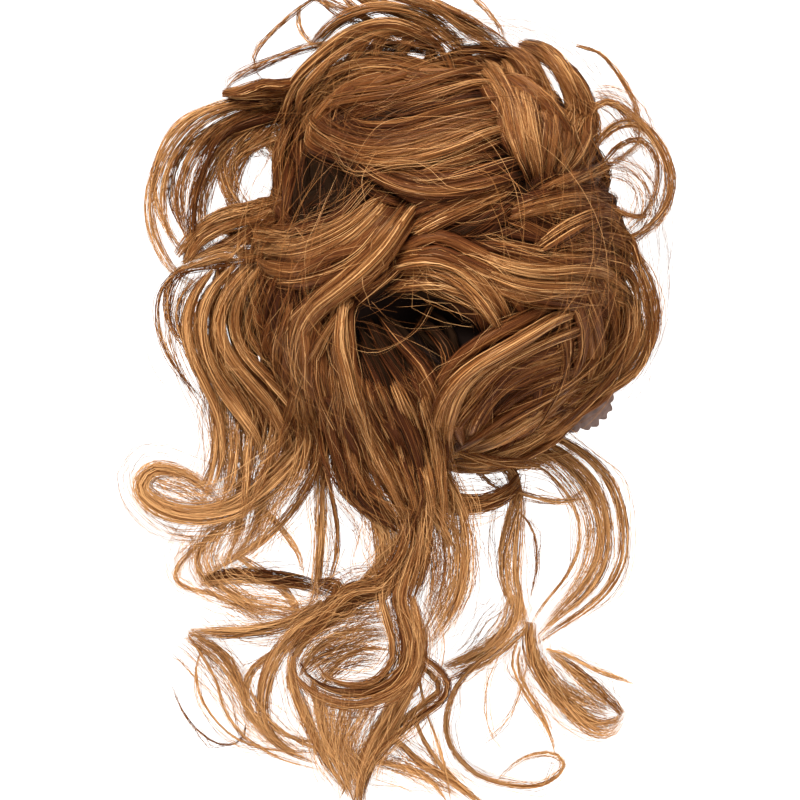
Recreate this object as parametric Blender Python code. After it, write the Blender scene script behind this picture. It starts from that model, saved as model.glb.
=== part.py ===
"""Top knot hairpiece: curled locks of false hair round a gathered elastic loop.

Metres, +Z up, and the bun's front faces -Y. The origin is the middle of the elastic
loop, in the plane where the piece sits round the wearer's own knot of hair.
Lock routes are read off the front view, whose grid step is PX.
"""
import math
from collections import namedtuple

import bmesh
import bpy
from mathutils import Vector

MM = 0.001

# Front view grid: the step is the real size of one pixel, the origin is the loop's middle
PX = 0.29 * MM
ORIGIN_ACROSS, ORIGIN_DOWN = 470, 300

# Clearance between neighbouring pieces
GAP = 0.3 * MM

# Elastic loop, in the plane y = 0, with one stretch that has slipped out of the hair
ELASTIC_LOOP_RADIUS = 29.0 * MM
ELASTIC_TUBE_RADIUS = 3.2 * MM
ELASTIC_GATHER_RELIEF = 0.45 * MM
ELASTIC_GATHERS = 30
ELASTIC_SIDES = 6
SLIPPED_OUT = 18.0 * MM
SLIPPED_ANGLE = math.radians(-40)
SLIPPED_SPREAD = math.radians(32)

# Bun body: a rounded front with an off-centre pocket, and a hollow back
BUN_ACROSS, BUN_DOWN = 430, 250
POCKET_ACROSS, POCKET_DOWN = 418, 315
RIM_DEPTH = -14.0 * MM
FRONT_SWELL = 60.0 * MM
POCKET_DENT = 12.0 * MM
POCKET_SPREAD = 13.0 * MM
BUN_SEGMENTS = 26

# Radius of the bun body round its middle, one value for every OUTLINE_STEP degrees from +X
OUTLINE_STEP = 30
OUTLINE_RADII_MM = (53, 53, 57, 53, 54, 46, 47, 54, 60, 55, 61, 56)

# Sides and spacing of the rings along a lock
LOCK_SIDES = 5
BUN_RING_STEP = 12.0 * MM
TENDRIL_RING_STEP = 7.4 * MM

# How a lock's width runs: drawn in at the root, full at the swell's top, fine at the tip
ROOT_WIDTH_SHARE = 0.62
SWELL_START, SWELL_REACH = 0.12, 1.25
TIP_START, TIP_LOSS = 0.75, 0.45

# Locks that wrap from the elastic over the rim, made by a loop
WRAP_LOCKS = 12
WRAP_WIDTH = 9.6 * MM
WRAP_RING_STEP = 15.6 * MM
WRAP_TURN = math.radians(10)
WRAP_ROOT_REACH, WRAP_ROOT_DEPTH = 40.0 * MM, 2.0 * MM

# Where a wrapping lock goes after its root: turns on by WRAP_TURN, share of the outline's
# radius, and depth; depth None is the rounded front
WrapStep = namedtuple("WrapStep", "turns share depth_mm")
WRAP_ROUTE = (
    WrapStep(1, 0.86, 3.0), WrapStep(2, 1.0, -9.0), WrapStep(3, 1.0, -26.0),
    WrapStep(4, 0.88, None),
)

HAIR_COLOUR = (0.36, 0.17, 0.065, 1.0)
ELASTIC_COLOUR = (0.27, 0.16, 0.11, 1.0)

# The line that parts the bun from the hanging tendrils, left to right in the front view
Corner = namedtuple("Corner", "across down")
PARTING = (
    Corner(60, 400), Corner(205, 400), Corner(250, 432), Corner(320, 452), Corner(380, 470),
    Corner(440, 470), Corner(500, 462), Corner(560, 448), Corner(620, 432), Corner(760, 432),
)
SKIRT_BOTTOM = 860
SKIRT_FRONT, SKIRT_BACK = -120.0 * MM, 40.0 * MM

# Sections of the bun body, from the pocket's floor out over the front, round the rim and in
# to the floor of the hollow. Each is a circle of reach_mm round its middle, moved by share
# towards the bun's outline; depth None is the rounded front.
Section = namedtuple("Section", "middle reach_mm share depth_mm")
BODY_SECTIONS = (
    Section("pocket", 5.0, 0.00, -54),
    Section("pocket", 11.5, 0.00, -60),
    Section("pocket", 11.5, 0.25, None),
    Section("pocket", 11.5, 0.56, None),
    Section("pocket", 11.5, 0.80, None),
    Section("pocket", 11.5, 0.94, None),
    Section("hollow", 33.6, 1.00, -16),
    Section("hollow", 33.6, 0.85, -2),
    Section("hollow", 33.6, 0.45, 5.5),
    Section("hollow", 33.6, 0.00, 4.5),
    Section("hollow", 33.6, 0.00, -8),
    Section("hollow", 25.0, 0.00, -34),
    Section("pocket", 10.0, 0.00, -42),
)

# A lock: full width in mm, how flat its section is, and its route in the front view.
# In BUN_LOCKS the third number is the lift in mm proud of the bun's rounded front;
# in the tendril tables it is the depth in mm in front of the elastic's plane.
Lock = namedtuple("Lock", "name width_mm flatness route")
FLAT, OVAL, ROUND = 0.5, 0.7, 0.9

BUN_LOCKS = (
    Lock("arch", 4.2, ROUND, ((330, 148, 0), (296, 104, 10), (308, 66, 16), (346, 34, 18),
                              (392, 22, 18), (436, 42, 14), (452, 84, 0))),
    Lock("crown_strand", 5.0, OVAL, ((392, 2, 16), (430, 10, 18), (460, 30, 16), (500, 78, 0))),
    Lock("crown_left", 4.6, OVAL, ((298, 6, 14), (342, 8, 16), (382, 34, 14), (412, 84, 0))),
    Lock("crown_mass", 10.0, OVAL, ((304, 92, 8), (358, 60, 12), (424, 56, 12), (492, 80, 3))),
    Lock("top_roll", 5.5, ROUND, ((302, 104, 4), (345, 95, 5), (395, 86, 5), (445, 68, 7),
                                  (490, 66, 8), (514, 90, 4))),
    Lock("top_roll_middle", 9.0, OVAL, ((308, 106, 2), (352, 118, 4), (402, 112, 5),
                                        (460, 96, 6), (514, 104, 3))),
    Lock("top_roll_lower", 6.0, ROUND, ((310, 120, 2), (332, 140, 5), (365, 152, 6),
                                        (430, 142, 7), (500, 120, 6), (526, 118, 3))),
    Lock("bright_roll", 6.0, ROUND, ((342, 152, 4), (385, 178, 6), (440, 191, 6),
                                     (500, 178, 6), (532, 166, 3))),
    Lock("fan_inner", 6.0, OVAL, ((482, 58, 4), (508, 98, 6), (522, 140, 6), (534, 180, 3))),
    Lock("fan_middle", 8.0, OVAL, ((502, 48, 6), (536, 85, 9), (548, 130, 9), (541, 180, 3))),
    Lock("fan_outer", 8.0, OVAL, ((522, 44, 8), (566, 84, 10), (574, 130, 9), (548, 182, 3))),
    Lock("fan_edge", 5.0, ROUND, ((540, 58, 6), (588, 98, 12), (592, 150, 10), (556, 186, 3))),
    Lock("left_roll", 5.5, ROUND, ((335, 50, 8), (278, 58, 14), (236, 76, 18), (230, 92, 18),
                                   (266, 98, 14), (314, 98, 4))),
    Lock("left_loop_outer", 3.2, ROUND, ((280, 106, 10), (222, 108, 14), (178, 134, 14),
                                         (152, 186, 13), (150, 226, 13), (182, 272, 12))),
    Lock("left_loop_inner", 3.2, ROUND, ((276, 116, 8), (208, 140, 11), (177, 178, 10),
                                         (184, 224, 10), (226, 266, 9))),
    Lock("left_loop_small", 3.0, ROUND, ((280, 118, 6), (236, 132, 8), (222, 168, 8),
                                         (236, 204, 8), (276, 214, 4))),
    Lock("left_mass", 6.0, OVAL, ((192, 242, 10), (238, 222, 8), (282, 206, 5), (320, 186, 2))),
    Lock("pocket_side", 4.5, ROUND, ((300, 122, 2), (291, 160, 5), (290, 204, 5), (286, 246, 5))),
    Lock("cross_belt", 8.5, OVAL, ((392, 192, 4), (346, 232, 6), (296, 252, 7), (240, 251, 9),
                                   (172, 270, 12))),
    Lock("cross_strand", 5.2, OVAL, ((418, 198, 5), (386, 246, 6), (346, 286, 6), (298, 314, 4))),
    Lock("middle_wave", 4.8, OVAL, ((420, 232, 4), (465, 208, 6), (520, 180, 4))),
    Lock("right_wave", 5.0, OVAL, ((500, 218, 4), (556, 203, 6), (604, 206, 10), (650, 220, 13))),
    Lock("right_fan", 6.0, OVAL, ((528, 194, 3), (574, 172, 6), (612, 152, 10))),
    Lock("right_wave_lower", 6.0, OVAL, ((532, 258, 4), (580, 222, 6), (632, 236, 10))),
    Lock("bright_arc", 9.5, OVAL, ((392, 268, 3), (438, 266, 6), (484, 288, 6), (506, 330, 4))),
    Lock("bright_shelf", 8.5, OVAL, ((480, 258, 5), (530, 272, 7), (584, 283, 7), (630, 298, 9))),
    Lock("right_loop", 3.2, ROUND, ((588, 146, 10), (636, 124, 12), (666, 152, 12),
                                    (668, 198, 12), (628, 244, 10))),
    Lock("right_edge", 3.2, ROUND, ((606, 240, 10), (645, 274, 13), (655, 315, 13),
                                    (644, 352, 13), (590, 388, 12))),
    Lock("right_fall", 7.5, OVAL, ((564, 256, 3), (590, 310, 6), (592, 350, 9), (576, 404, 8))),
    Lock("hook", 6.5, OVAL, ((572, 314, 5), (504, 349, 7), (460, 381, 8), (443, 418, 9),
                             (452, 450, 12))),
    Lock("hook_return", 6.5, OVAL, ((444, 452, 12), (500, 436, 10), (558, 404, 9),
                                    (598, 384, 10))),
    Lock("hook_inner", 7.5, OVAL, ((466, 436, 7), (494, 392, 6), (536, 368, 6), (584, 356, 6))),
    Lock("left_bend", 3.4, ROUND, ((262, 260, 7), (192, 268, 11), (167, 300, 12),
                                   (176, 336, 12), (222, 366, 10))),
    Lock("curtain_outer", 6.0, OVAL, ((236, 268, 9), (200, 310, 10), (203, 360, 6), (226, 430, -1))),
    Lock("curtain_inner", 11.0, OVAL, ((286, 256, 6), (246, 320, 7), (246, 372, 6), (268, 450, -1))),
    Lock("fall_left", 11.0, OVAL, ((308, 296, 4), (288, 348, 6), (300, 410, 6), (304, 470, 0))),
    Lock("fall_middle", 12.0, OVAL, ((342, 292, 4), (328, 346, 6), (346, 404, 8), (356, 480, 20))),
    Lock("fall_under_pocket", 10.0, OVAL, ((356, 350, 4), (380, 398, 7), (402, 446, 16),
                                           (420, 490, 22))),
    Lock("fall_right", 9.0, OVAL, ((398, 356, 3), (420, 388, 6), (438, 430, 14), (446, 488, 20))),
)

LEFT_TENDRILS = (
    Lock("root_band", 12.0, FLAT, ((196, 402, 13), (252, 444, 13), (338, 474, 14))),
    Lock("sweep_and_loop", 5.0, OVAL, ((310, 440, 14), (272, 486, 15), (226, 513, 16),
                                       (176, 512, 19), (142, 490, 20), (155, 466, 18),
                                       (190, 473, 14), (216, 494, 12))),
    Lock("outer_fall", 3.6, ROUND, ((222, 400, 13), (219, 450, 12), (212, 500, 14))),
    Lock("sheet", 11.0, FLAT, ((296, 430, 14), (272, 478, 14), (238, 520, 15))),
    Lock("curtain_fall", 8.0, FLAT, ((262, 420, 12), (246, 480, 10), (240, 530, 10),
                                     (222, 574, 12))),
    Lock("slant", 3.2, ROUND, ((330, 440, 14), (304, 496, 12), (276, 528, 10), (238, 552, 11),
                               (204, 576, 12))),
    Lock("plumb", 3.4, ROUND, ((320, 446, 15), (320, 510, 15), (318, 560, 13), (316, 596, 12))),
    Lock("small_turn", 2.6, ROUND, ((244, 520, 10), (200, 548, 8), (196, 576, 8), (236, 598, 10),
                                    (268, 626, 12))),
    Lock("cross_piece", 3.6, OVAL, ((196, 578, 11), (255, 574, 12), (300, 580, 12),
                                    (336, 596, 12))),
    Lock("folded_lock", 4.2, OVAL, ((340, 584, 12), (322, 604, 12), (288, 623, 13),
                                    (243, 634, 14), (186, 632, 16))),
    Lock("folded_return", 2.4, ROUND, ((198, 632, 15), (224, 652, 12), (240, 682, 9),
                                       (246, 710, 8), (268, 740, 9), (306, 758, 12))),
    Lock("lower_turn", 3.4, ROUND, ((326, 606, 12), (290, 642, 13), (268, 674, 11),
                                    (264, 706, 9), (276, 738, 10), (318, 762, 14))),
)

CENTRE_TENDRILS = (
    Lock("root_band", 13.0, OVAL, ((332, 462, 34), (386, 484, 36), (444, 496, 36),
                                   (504, 500, 32))),
    Lock("shade_mass", 12.0, OVAL, ((350, 446, 35), (378, 496, 37), (416, 536, 38))),
    Lock("dark_sweep", 6.5, OVAL, ((402, 450, 34), (412, 524, 38), (394, 572, 39),
                                   (358, 596, 38), (322, 616, 36), (294, 646, 38))),
    Lock("ring_curl", 5.0, OVAL, ((426, 470, 36), (424, 556, 41), (408, 606, 44), (415, 655, 46),
                                  (392, 693, 45), (350, 706, 43), (308, 690, 40),
                                  (291, 660, 36), (312, 632, 33), (352, 618, 33),
                                  (396, 612, 38))),
    Lock("veil", 8.0, FLAT, ((442, 480, 36), (457, 540, 34), (459, 590, 34), (444, 620, 37),
                             (414, 654, 43))),
    Lock("long_fall", 5.6, OVAL, ((416, 640, 45), (408, 682, 42), (390, 716, 38),
                                  (366, 758, 35), (357, 814, 34))),
    Lock("dark_bend", 4.0, ROUND, ((410, 652, 45), (440, 670, 43), (446, 691, 41),
                                   (420, 715, 38), (386, 746, 36), (366, 780, 35),
                                   (356, 812, 34))),
    Lock("lower_sprig", 3.2, ROUND, ((384, 736, 36), (415, 760, 33), (448, 780, 31),
                                     (488, 806, 30))),
    Lock("left_fall", 4.4, OVAL, ((296, 664, 37), (303, 706, 36), (322, 750, 35),
                                  (352, 796, 34))),
    Lock("lower_veil", 8.0, FLAT, ((326, 698, 41), (340, 732, 38), (364, 772, 35))),
)

RIGHT_TENDRILS = (
    Lock("root_band", 8.0, OVAL, ((470, 470, 13), (532, 462, 13), (606, 446, 13))),
    Lock("plumb", 4.6, OVAL, ((506, 440, 14), (517, 490, 15), (508, 534, 15), (509, 585, 13),
                              (524, 614, 12), (531, 640, 12))),
    Lock("fan_outer", 4.0, ROUND, ((556, 432, 12), (598, 463, 10), (622, 512, 8), (621, 566, 8),
                                   (600, 601, 10), (560, 625, 12), (528, 650, 12))),
    Lock("fan_middle", 7.0, OVAL, ((516, 446, 13), (568, 464, 12), (597, 506, 12),
                                   (597, 556, 12), (576, 594, 12), (532, 634, 12))),
    Lock("fan_inner", 2.6, ROUND, ((514, 488, 15), (560, 500, 17), (578, 522, 17),
                                   (575, 558, 15), (554, 598, 13), (528, 628, 12))),
    Lock("end_hook", 6.0, OVAL, ((529, 632, 12), (531, 660, 12), (552, 692, 10), (582, 720, 8),
                                 (610, 730, 8), (622, 712, 11), (584, 678, 15), (546, 650, 18))),
    Lock("hook_tip", 2.2, ROUND, ((560, 656, 17), (598, 671, 19), (637, 684, 19))),
    Lock("cross_over", 5.0, FLAT, ((530, 618, 12), (504, 642, 12), (474, 660, 11),
                                   (440, 672, 10))),
    Lock("low_loop", 2.8, ROUND, ((484, 656, 11), (456, 688, 12), (447, 728, 13), (472, 770, 13),
                                  (520, 785, 11), (556, 773, 9), (556, 757, 8),
                                  (528, 757, 9), (498, 782, 12))),
)


TENDRIL_TABLES = {
    "tendrils_left": LEFT_TENDRILS,
    "tendrils_centre": CENTRE_TENDRILS,
    "tendrils_right": RIGHT_TENDRILS,
}


def smooth_between(before, start, end, after, t):
    """Catmull-Rom value a share t of the way from start to end."""
    return 0.5 * (2 * start + (end - before) * t
                  + (2 * before - 5 * start + 4 * end - after) * t ** 2
                  + (3 * (start - end) + after - before) * t ** 3)


def grid_point(across, down, depth=0.0):
    """A place in the front view, in metres."""
    return Vector(((across - ORIGIN_ACROSS) * PX, depth, (ORIGIN_DOWN - down) * PX))


BUN_MIDDLE = grid_point(BUN_ACROSS, BUN_DOWN)
POCKET_MIDDLE = grid_point(POCKET_ACROSS, POCKET_DOWN)
HOLLOW_MIDDLE = Vector((0.0, 0.0, 0.0))


def outline_radius(angle):
    """Radius of the bun body round its middle, in metres."""
    count = len(OUTLINE_RADII_MM)
    place = math.degrees(angle) % 360 / OUTLINE_STEP
    index = int(place)
    before, start, end, after = (OUTLINE_RADII_MM[(index + k) % count] for k in (-1, 0, 1, 2))
    return smooth_between(before, start, end, after, place - index) * MM


def front_depth(x, z):
    """Depth of the bun's rounded front; outside its outline this is the rim's depth."""
    dx, dz = x - BUN_MIDDLE.x, z - BUN_MIDDLE.z
    share = min(1.0, math.hypot(dx, dz) / outline_radius(math.atan2(dz, dx)))
    swell = FRONT_SWELL * (1 - share ** 2.4) ** 0.55
    from_pocket = math.hypot(x - POCKET_MIDDLE.x, z - POCKET_MIDDLE.z)
    dent = POCKET_DENT * math.exp(-(from_pocket / POCKET_SPREAD) ** 2)
    return RIM_DEPTH - swell + dent


def elastic_point(angle):
    """A point on the middle line of the elastic loop."""
    off = (angle - SLIPPED_ANGLE + math.pi) % (2 * math.pi) - math.pi
    radius = ELASTIC_LOOP_RADIUS + SLIPPED_OUT * math.exp(-(off / SLIPPED_SPREAD) ** 2)
    return Vector((radius * math.cos(angle), 0.0, radius * math.sin(angle)))


def new_material(name, colour, roughness):
    material = bpy.data.materials.new(name)
    material.use_nodes = True
    shader = material.node_tree.nodes["Principled BSDF"]
    shader.inputs["Base Color"].default_value = colour
    shader.inputs["Roughness"].default_value = roughness
    shader.inputs["Metallic"].default_value = 0.0
    return material


def curve_to_mesh(curve_object, collection):
    """Replaces a curve object by its mesh, with the caps welded to the sides."""
    evaluated = curve_object.evaluated_get(bpy.context.evaluated_depsgraph_get())
    mesh = bpy.data.meshes.new_from_object(evaluated)
    shape = bmesh.new()
    shape.from_mesh(mesh)
    bmesh.ops.transform(shape, matrix=curve_object.matrix_world, verts=shape.verts)
    bmesh.ops.remove_doubles(shape, verts=shape.verts, dist=0.001 * MM)
    bmesh.ops.recalc_face_normals(shape, faces=shape.faces)
    shape.to_mesh(mesh)
    shape.free()
    solid = bpy.data.objects.new(curve_object.name + "_solid", mesh)
    collection.objects.link(solid)
    bpy.data.objects.remove(curve_object)
    return solid


def oval_profile(flatness, collection):
    """A closed oval of half-width 1 that gives a lock its section."""
    curve = bpy.data.curves.new("oval", "CURVE")
    curve.dimensions = "2D"
    spline = curve.splines.new("POLY")
    spline.points.add(LOCK_SIDES - 1)
    spline.use_cyclic_u = True
    for index, point in enumerate(spline.points):
        angle = 2 * math.pi * index / LOCK_SIDES
        point.co = (math.cos(angle), flatness * math.sin(angle), 0.0, 1.0)
    profile = bpy.data.objects.new("oval_profile", curve)
    collection.objects.link(profile)
    return profile


def tube(name, points, radii, profile, collection, twist="Z_UP"):
    """A closed tapered tube through the points, its flat side turned to the front."""
    curve = bpy.data.curves.new(name, "CURVE")
    curve.dimensions = "3D"
    curve.twist_mode = twist
    curve.use_fill_caps = True
    curve.bevel_mode = "OBJECT"
    curve.bevel_object = profile
    spline = curve.splines.new("POLY")
    spline.points.add(len(points) - 1)
    for knot, place, radius in zip(spline.points, points, radii):
        knot.co = (place.x, place.z, -place.y, 1.0)
        knot.radius = radius
    tube_object = bpy.data.objects.new(name, curve)
    tube_object.rotation_euler = (math.pi / 2, 0.0, 0.0)
    collection.objects.link(tube_object)
    bpy.context.view_layer.update()
    return curve_to_mesh(tube_object, collection)


def smooth_route(knots, step):
    """Points at about equal steps on a smooth curve through the knots."""
    ends = [2 * knots[0] - knots[1]] + list(knots) + [2 * knots[-1] - knots[-2]]
    fine = []
    for index in range(1, len(ends) - 2):
        for part in range(12):
            fine.append(smooth_between(*ends[index - 1:index + 3], part / 12))
    fine.append(knots[-1])
    run = [0.0]
    for start, end in zip(fine, fine[1:]):
        run.append(run[-1] + (end - start).length)
    rings = max(5, round(run[-1] / step)) + 1
    points, index = [], 0
    for ring in range(rings):
        goal = run[-1] * ring / (rings - 1)
        while index < len(run) - 2 and run[index + 1] < goal:
            index += 1
        share = (goal - run[index]) / (run[index + 1] - run[index])
        points.append(fine[index].lerp(fine[index + 1], share))
    return points


def lock_radii(width, rings):
    """Half-widths along a lock: drawn in at the root, full in the middle, fine at the tip."""
    radii = []
    for ring in range(rings):
        share = ring / (rings - 1)
        rise = math.sin(math.pi * min(1.0, share * SWELL_REACH + SWELL_START))
        swell = ROOT_WIDTH_SHARE + (1.0 - ROOT_WIDTH_SHARE) * rise
        tip = 1.0 - TIP_LOSS * max(0.0, share - TIP_START) / (1.0 - TIP_START)
        radii.append(0.5 * width * swell * tip)
    return radii


def make_lock(lock, step, profiles, collection, lies_on_bun):
    knots = []
    for across, down, rise_mm in lock.route:
        knot = grid_point(across, down)
        surface = front_depth(knot.x, knot.z) if lies_on_bun else 0.0
        knots.append(Vector((knot.x, surface - rise_mm * MM, knot.z)))
    points = smooth_route(knots, step)
    radii = lock_radii(lock.width_mm * MM, len(points))
    return tube(lock.name, points, radii, profiles[lock.flatness], collection)


def make_wrap_lock(index, profile, collection):
    """One lock from the elastic's seat outwards, over the rim and onto the front."""
    angle = 2 * math.pi * (index + 0.5) / WRAP_LOCKS
    root = HOLLOW_MIDDLE + Vector((math.cos(angle), 0.0, math.sin(angle))) * WRAP_ROOT_REACH
    root.y = WRAP_ROOT_DEPTH
    knots = [root]
    for step in WRAP_ROUTE:
        around = angle + step.turns * WRAP_TURN
        reach = step.share * outline_radius(around)
        place = BUN_MIDDLE + Vector((math.cos(around), 0.0, math.sin(around))) * reach
        if step.depth_mm is None:
            place.y = front_depth(place.x, place.z)
        else:
            place.y = step.depth_mm * MM
        knots.append(place)
    points = smooth_route(knots, WRAP_RING_STEP)
    radii = lock_radii(WRAP_WIDTH, len(points))
    return tube("wrap_%02d" % index, points, radii, profile, collection, "MINIMUM")


def make_bun_body(collection):
    """The hollow body that carries the locks, lofted through its sections."""
    shape = bmesh.new()
    rings = []
    for section in BODY_SECTIONS:
        middle = HOLLOW_MIDDLE if section.middle == "hollow" else POCKET_MIDDLE
        ring = []
        for index in range(BUN_SEGMENTS):
            angle = 2 * math.pi * index / BUN_SEGMENTS
            outward = Vector((math.cos(angle), 0.0, math.sin(angle)))
            outline = BUN_MIDDLE + outward * outline_radius(angle)
            place = (middle + outward * section.reach_mm * MM).lerp(outline, section.share)
            if section.depth_mm is None:
                place.y = front_depth(place.x, place.z)
            else:
                place.y = section.depth_mm * MM
            ring.append(shape.verts.new(place))
        rings.append(ring)
    for inner, outer in zip(rings, rings[1:]):
        for index in range(BUN_SEGMENTS):
            after = (index + 1) % BUN_SEGMENTS
            shape.faces.new((inner[index], inner[after], outer[after], outer[index]))
    shape.faces.new(rings[0])
    shape.faces.new(rings[-1])
    bmesh.ops.recalc_face_normals(shape, faces=shape.faces)
    mesh = bpy.data.meshes.new("bun_body")
    shape.to_mesh(mesh)
    shape.free()
    body = bpy.data.objects.new("bun_body", mesh)
    collection.objects.link(body)
    return body


def make_skirt(name, drop, collection):
    """Everything below the parting line, as a thick flat outline lowered by drop."""
    corners = list(PARTING) + [Corner(PARTING[-1].across, SKIRT_BOTTOM),
                               Corner(PARTING[0].across, SKIRT_BOTTOM)]
    curve = bpy.data.curves.new(name, "CURVE")
    curve.dimensions = "2D"
    curve.fill_mode = "BOTH"
    curve.extrude = 0.5 * (SKIRT_BACK - SKIRT_FRONT)
    spline = curve.splines.new("POLY")
    spline.points.add(len(corners) - 1)
    spline.use_cyclic_u = True
    for knot, corner in zip(spline.points, corners):
        place = grid_point(corner.across, corner.down)
        knot.co = (place.x, place.z - drop, 0.0, 1.0)
    skirt = bpy.data.objects.new(name, curve)
    skirt.rotation_euler = (math.pi / 2, 0.0, 0.0)
    skirt.location.y = 0.5 * (SKIRT_BACK + SKIRT_FRONT)
    collection.objects.link(skirt)
    bpy.context.view_layer.update()
    return curve_to_mesh(skirt, collection)


def boolean_result(target, operation, cutter=None, cutters=None):
    """The target's mesh after one exact Boolean with an object or a collection."""
    modifier = target.modifiers.new("boolean", "BOOLEAN")
    modifier.operation = operation
    modifier.solver = "EXACT"
    modifier.use_self = cutters is not None
    if cutters is None:
        modifier.object = cutter
    else:
        modifier.operand_type = "COLLECTION"
        modifier.collection = cutters
    bpy.context.view_layer.update()
    evaluated = target.evaluated_get(bpy.context.evaluated_depsgraph_get())
    mesh = bpy.data.meshes.new_from_object(evaluated)
    target.modifiers.clear()
    target.data = mesh
    return target


def island_volume(faces):
    """Signed volume of a triangulated island."""
    total = 0.0
    for face in faces:
        a, b, c = (vert.co for vert in face.verts)
        total += a.dot(b.cross(c)) / 6
    return total


def keep_outer_skin(target):
    """Leaves only the largest closed skin: inner cavities and loose crumbs go."""
    shape = bmesh.new()
    shape.from_mesh(target.data)
    bmesh.ops.remove_doubles(shape, verts=shape.verts, dist=0.0002 * MM)
    bmesh.ops.dissolve_degenerate(shape, edges=shape.edges, dist=0.0002 * MM)
    bmesh.ops.triangulate(shape, faces=shape.faces)
    waiting = set(shape.faces)
    islands = []
    while waiting:
        stack = [waiting.pop()]
        island = []
        while stack:
            face = stack.pop()
            island.append(face)
            for edge in face.edges:
                for other in edge.link_faces:
                    if other in waiting:
                        waiting.remove(other)
                        stack.append(other)
        islands.append(island)
    largest = max(islands, key=island_volume)
    spare = [face for island in islands if island is not largest for face in island]
    bmesh.ops.delete(shape, geom=spare, context="FACES")
    shape.to_mesh(target.data)
    shape.free()


def new_collection(name):
    collection = bpy.data.collections.new(name)
    bpy.context.scene.collection.children.link(collection)
    return collection


def join_locks(name, body, locks, pieces):
    """Fuses locks, and a body that carries them if there is one, into one skin."""
    group = new_collection(name + "_locks")
    for lock in locks:
        for home in lock.users_collection:
            home.objects.unlink(lock)
        group.objects.link(lock)
    if body is None:
        body = locks[0]
        group.objects.unlink(body)
        pieces.objects.link(body)
    fused = boolean_result(body, "UNION", cutters=group)
    for lock in list(group.objects):
        bpy.data.objects.remove(lock)
    bpy.data.collections.remove(group)
    return fused


def finish_piece(piece, name, material, pieces):
    for home in list(piece.users_collection):
        home.objects.unlink(piece)
    pieces.objects.link(piece)
    piece.name = name
    piece.data.name = name
    piece.data.materials.clear()
    piece.data.materials.append(material)
    piece.data.shade_smooth()
    piece.data.set_sharp_from_angle(angle=math.radians(50))


def make_elastic(name, extra_radius, gathered, collection):
    """The elastic loop as a closed tube; gathered gives it its row of puffs."""
    curve = bpy.data.curves.new(name, "CURVE")
    curve.dimensions = "3D"
    curve.twist_mode = "MINIMUM"
    curve.bevel_depth = 1.0
    curve.bevel_resolution = (ELASTIC_SIDES - 4) // 2
    spline = curve.splines.new("POLY")
    rings = ELASTIC_GATHERS * 2
    spline.points.add(rings - 1)
    spline.use_cyclic_u = True
    for index, knot in enumerate(spline.points):
        place = elastic_point(2 * math.pi * index / rings)
        relief = ELASTIC_GATHER_RELIEF
        if gathered and index % 2:
            relief = -ELASTIC_GATHER_RELIEF
        knot.co = (place.x, place.y, place.z, 1.0)
        knot.radius = ELASTIC_TUBE_RADIUS + relief + extra_radius
    loop = bpy.data.objects.new(name, curve)
    collection.objects.link(loop)
    bpy.context.view_layer.update()
    return curve_to_mesh(loop, collection)


def main():
    for old in list(bpy.data.objects):
        bpy.data.objects.remove(old)
    pieces = new_collection("top_knot_hairpiece")
    cutters = new_collection("cutters")
    profiles = {flatness: oval_profile(flatness, cutters) for flatness in (FLAT, OVAL, ROUND)}

    elastic = make_elastic("elastic_band", 0.0, True, cutters)
    channel = make_elastic("elastic_channel", GAP, False, cutters)
    above = make_skirt("skirt_at_parting", 0.0, cutters)
    below = make_skirt("skirt_under_gap", GAP, cutters)

    bun_parts = [make_lock(lock, BUN_RING_STEP, profiles, cutters, True) for lock in BUN_LOCKS]
    bun_parts += [make_wrap_lock(index, profiles[OVAL], cutters) for index in range(WRAP_LOCKS)]
    for table in TENDRIL_TABLES.values():
        bun_parts += [make_lock(lock, TENDRIL_RING_STEP, profiles, cutters, False)
                      for lock in table]
    bun = join_locks("bun_hair", make_bun_body(cutters), bun_parts, cutters)
    boolean_result(bun, "DIFFERENCE", cutter=above)
    boolean_result(bun, "DIFFERENCE", cutter=channel)
    keep_outer_skin(bun)

    finish_piece(bun, "bun_hair", new_material("hair_bun", HAIR_COLOUR, 0.42), pieces)
    finish_piece(elastic, "elastic_band", new_material("elastic", ELASTIC_COLOUR, 0.85), pieces)
    for name, table in TENDRIL_TABLES.items():
        locks = [make_lock(lock, TENDRIL_RING_STEP, profiles, cutters, False) for lock in table]
        group = join_locks(name, None, locks, cutters)
        boolean_result(group, "INTERSECT", cutter=below)
        keep_outer_skin(group)
        finish_piece(group, name, new_material("hair_" + name, HAIR_COLOUR, 0.42), pieces)

    for helper in list(cutters.objects):
        bpy.data.objects.remove(helper)


main()
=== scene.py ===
"""Looks of the top knot hairpiece: every lock as strands of hair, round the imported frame.

Metres, +Z up, and the bun's front faces -Y. Lock routes are read off the front view: across
and down in its pixels, then the rise in mm, which is the lift off the bun's rounded front
for the locks of the bun and the depth in front of the elastic's plane for the tendrils.
"""
import math
from collections import namedtuple

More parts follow.
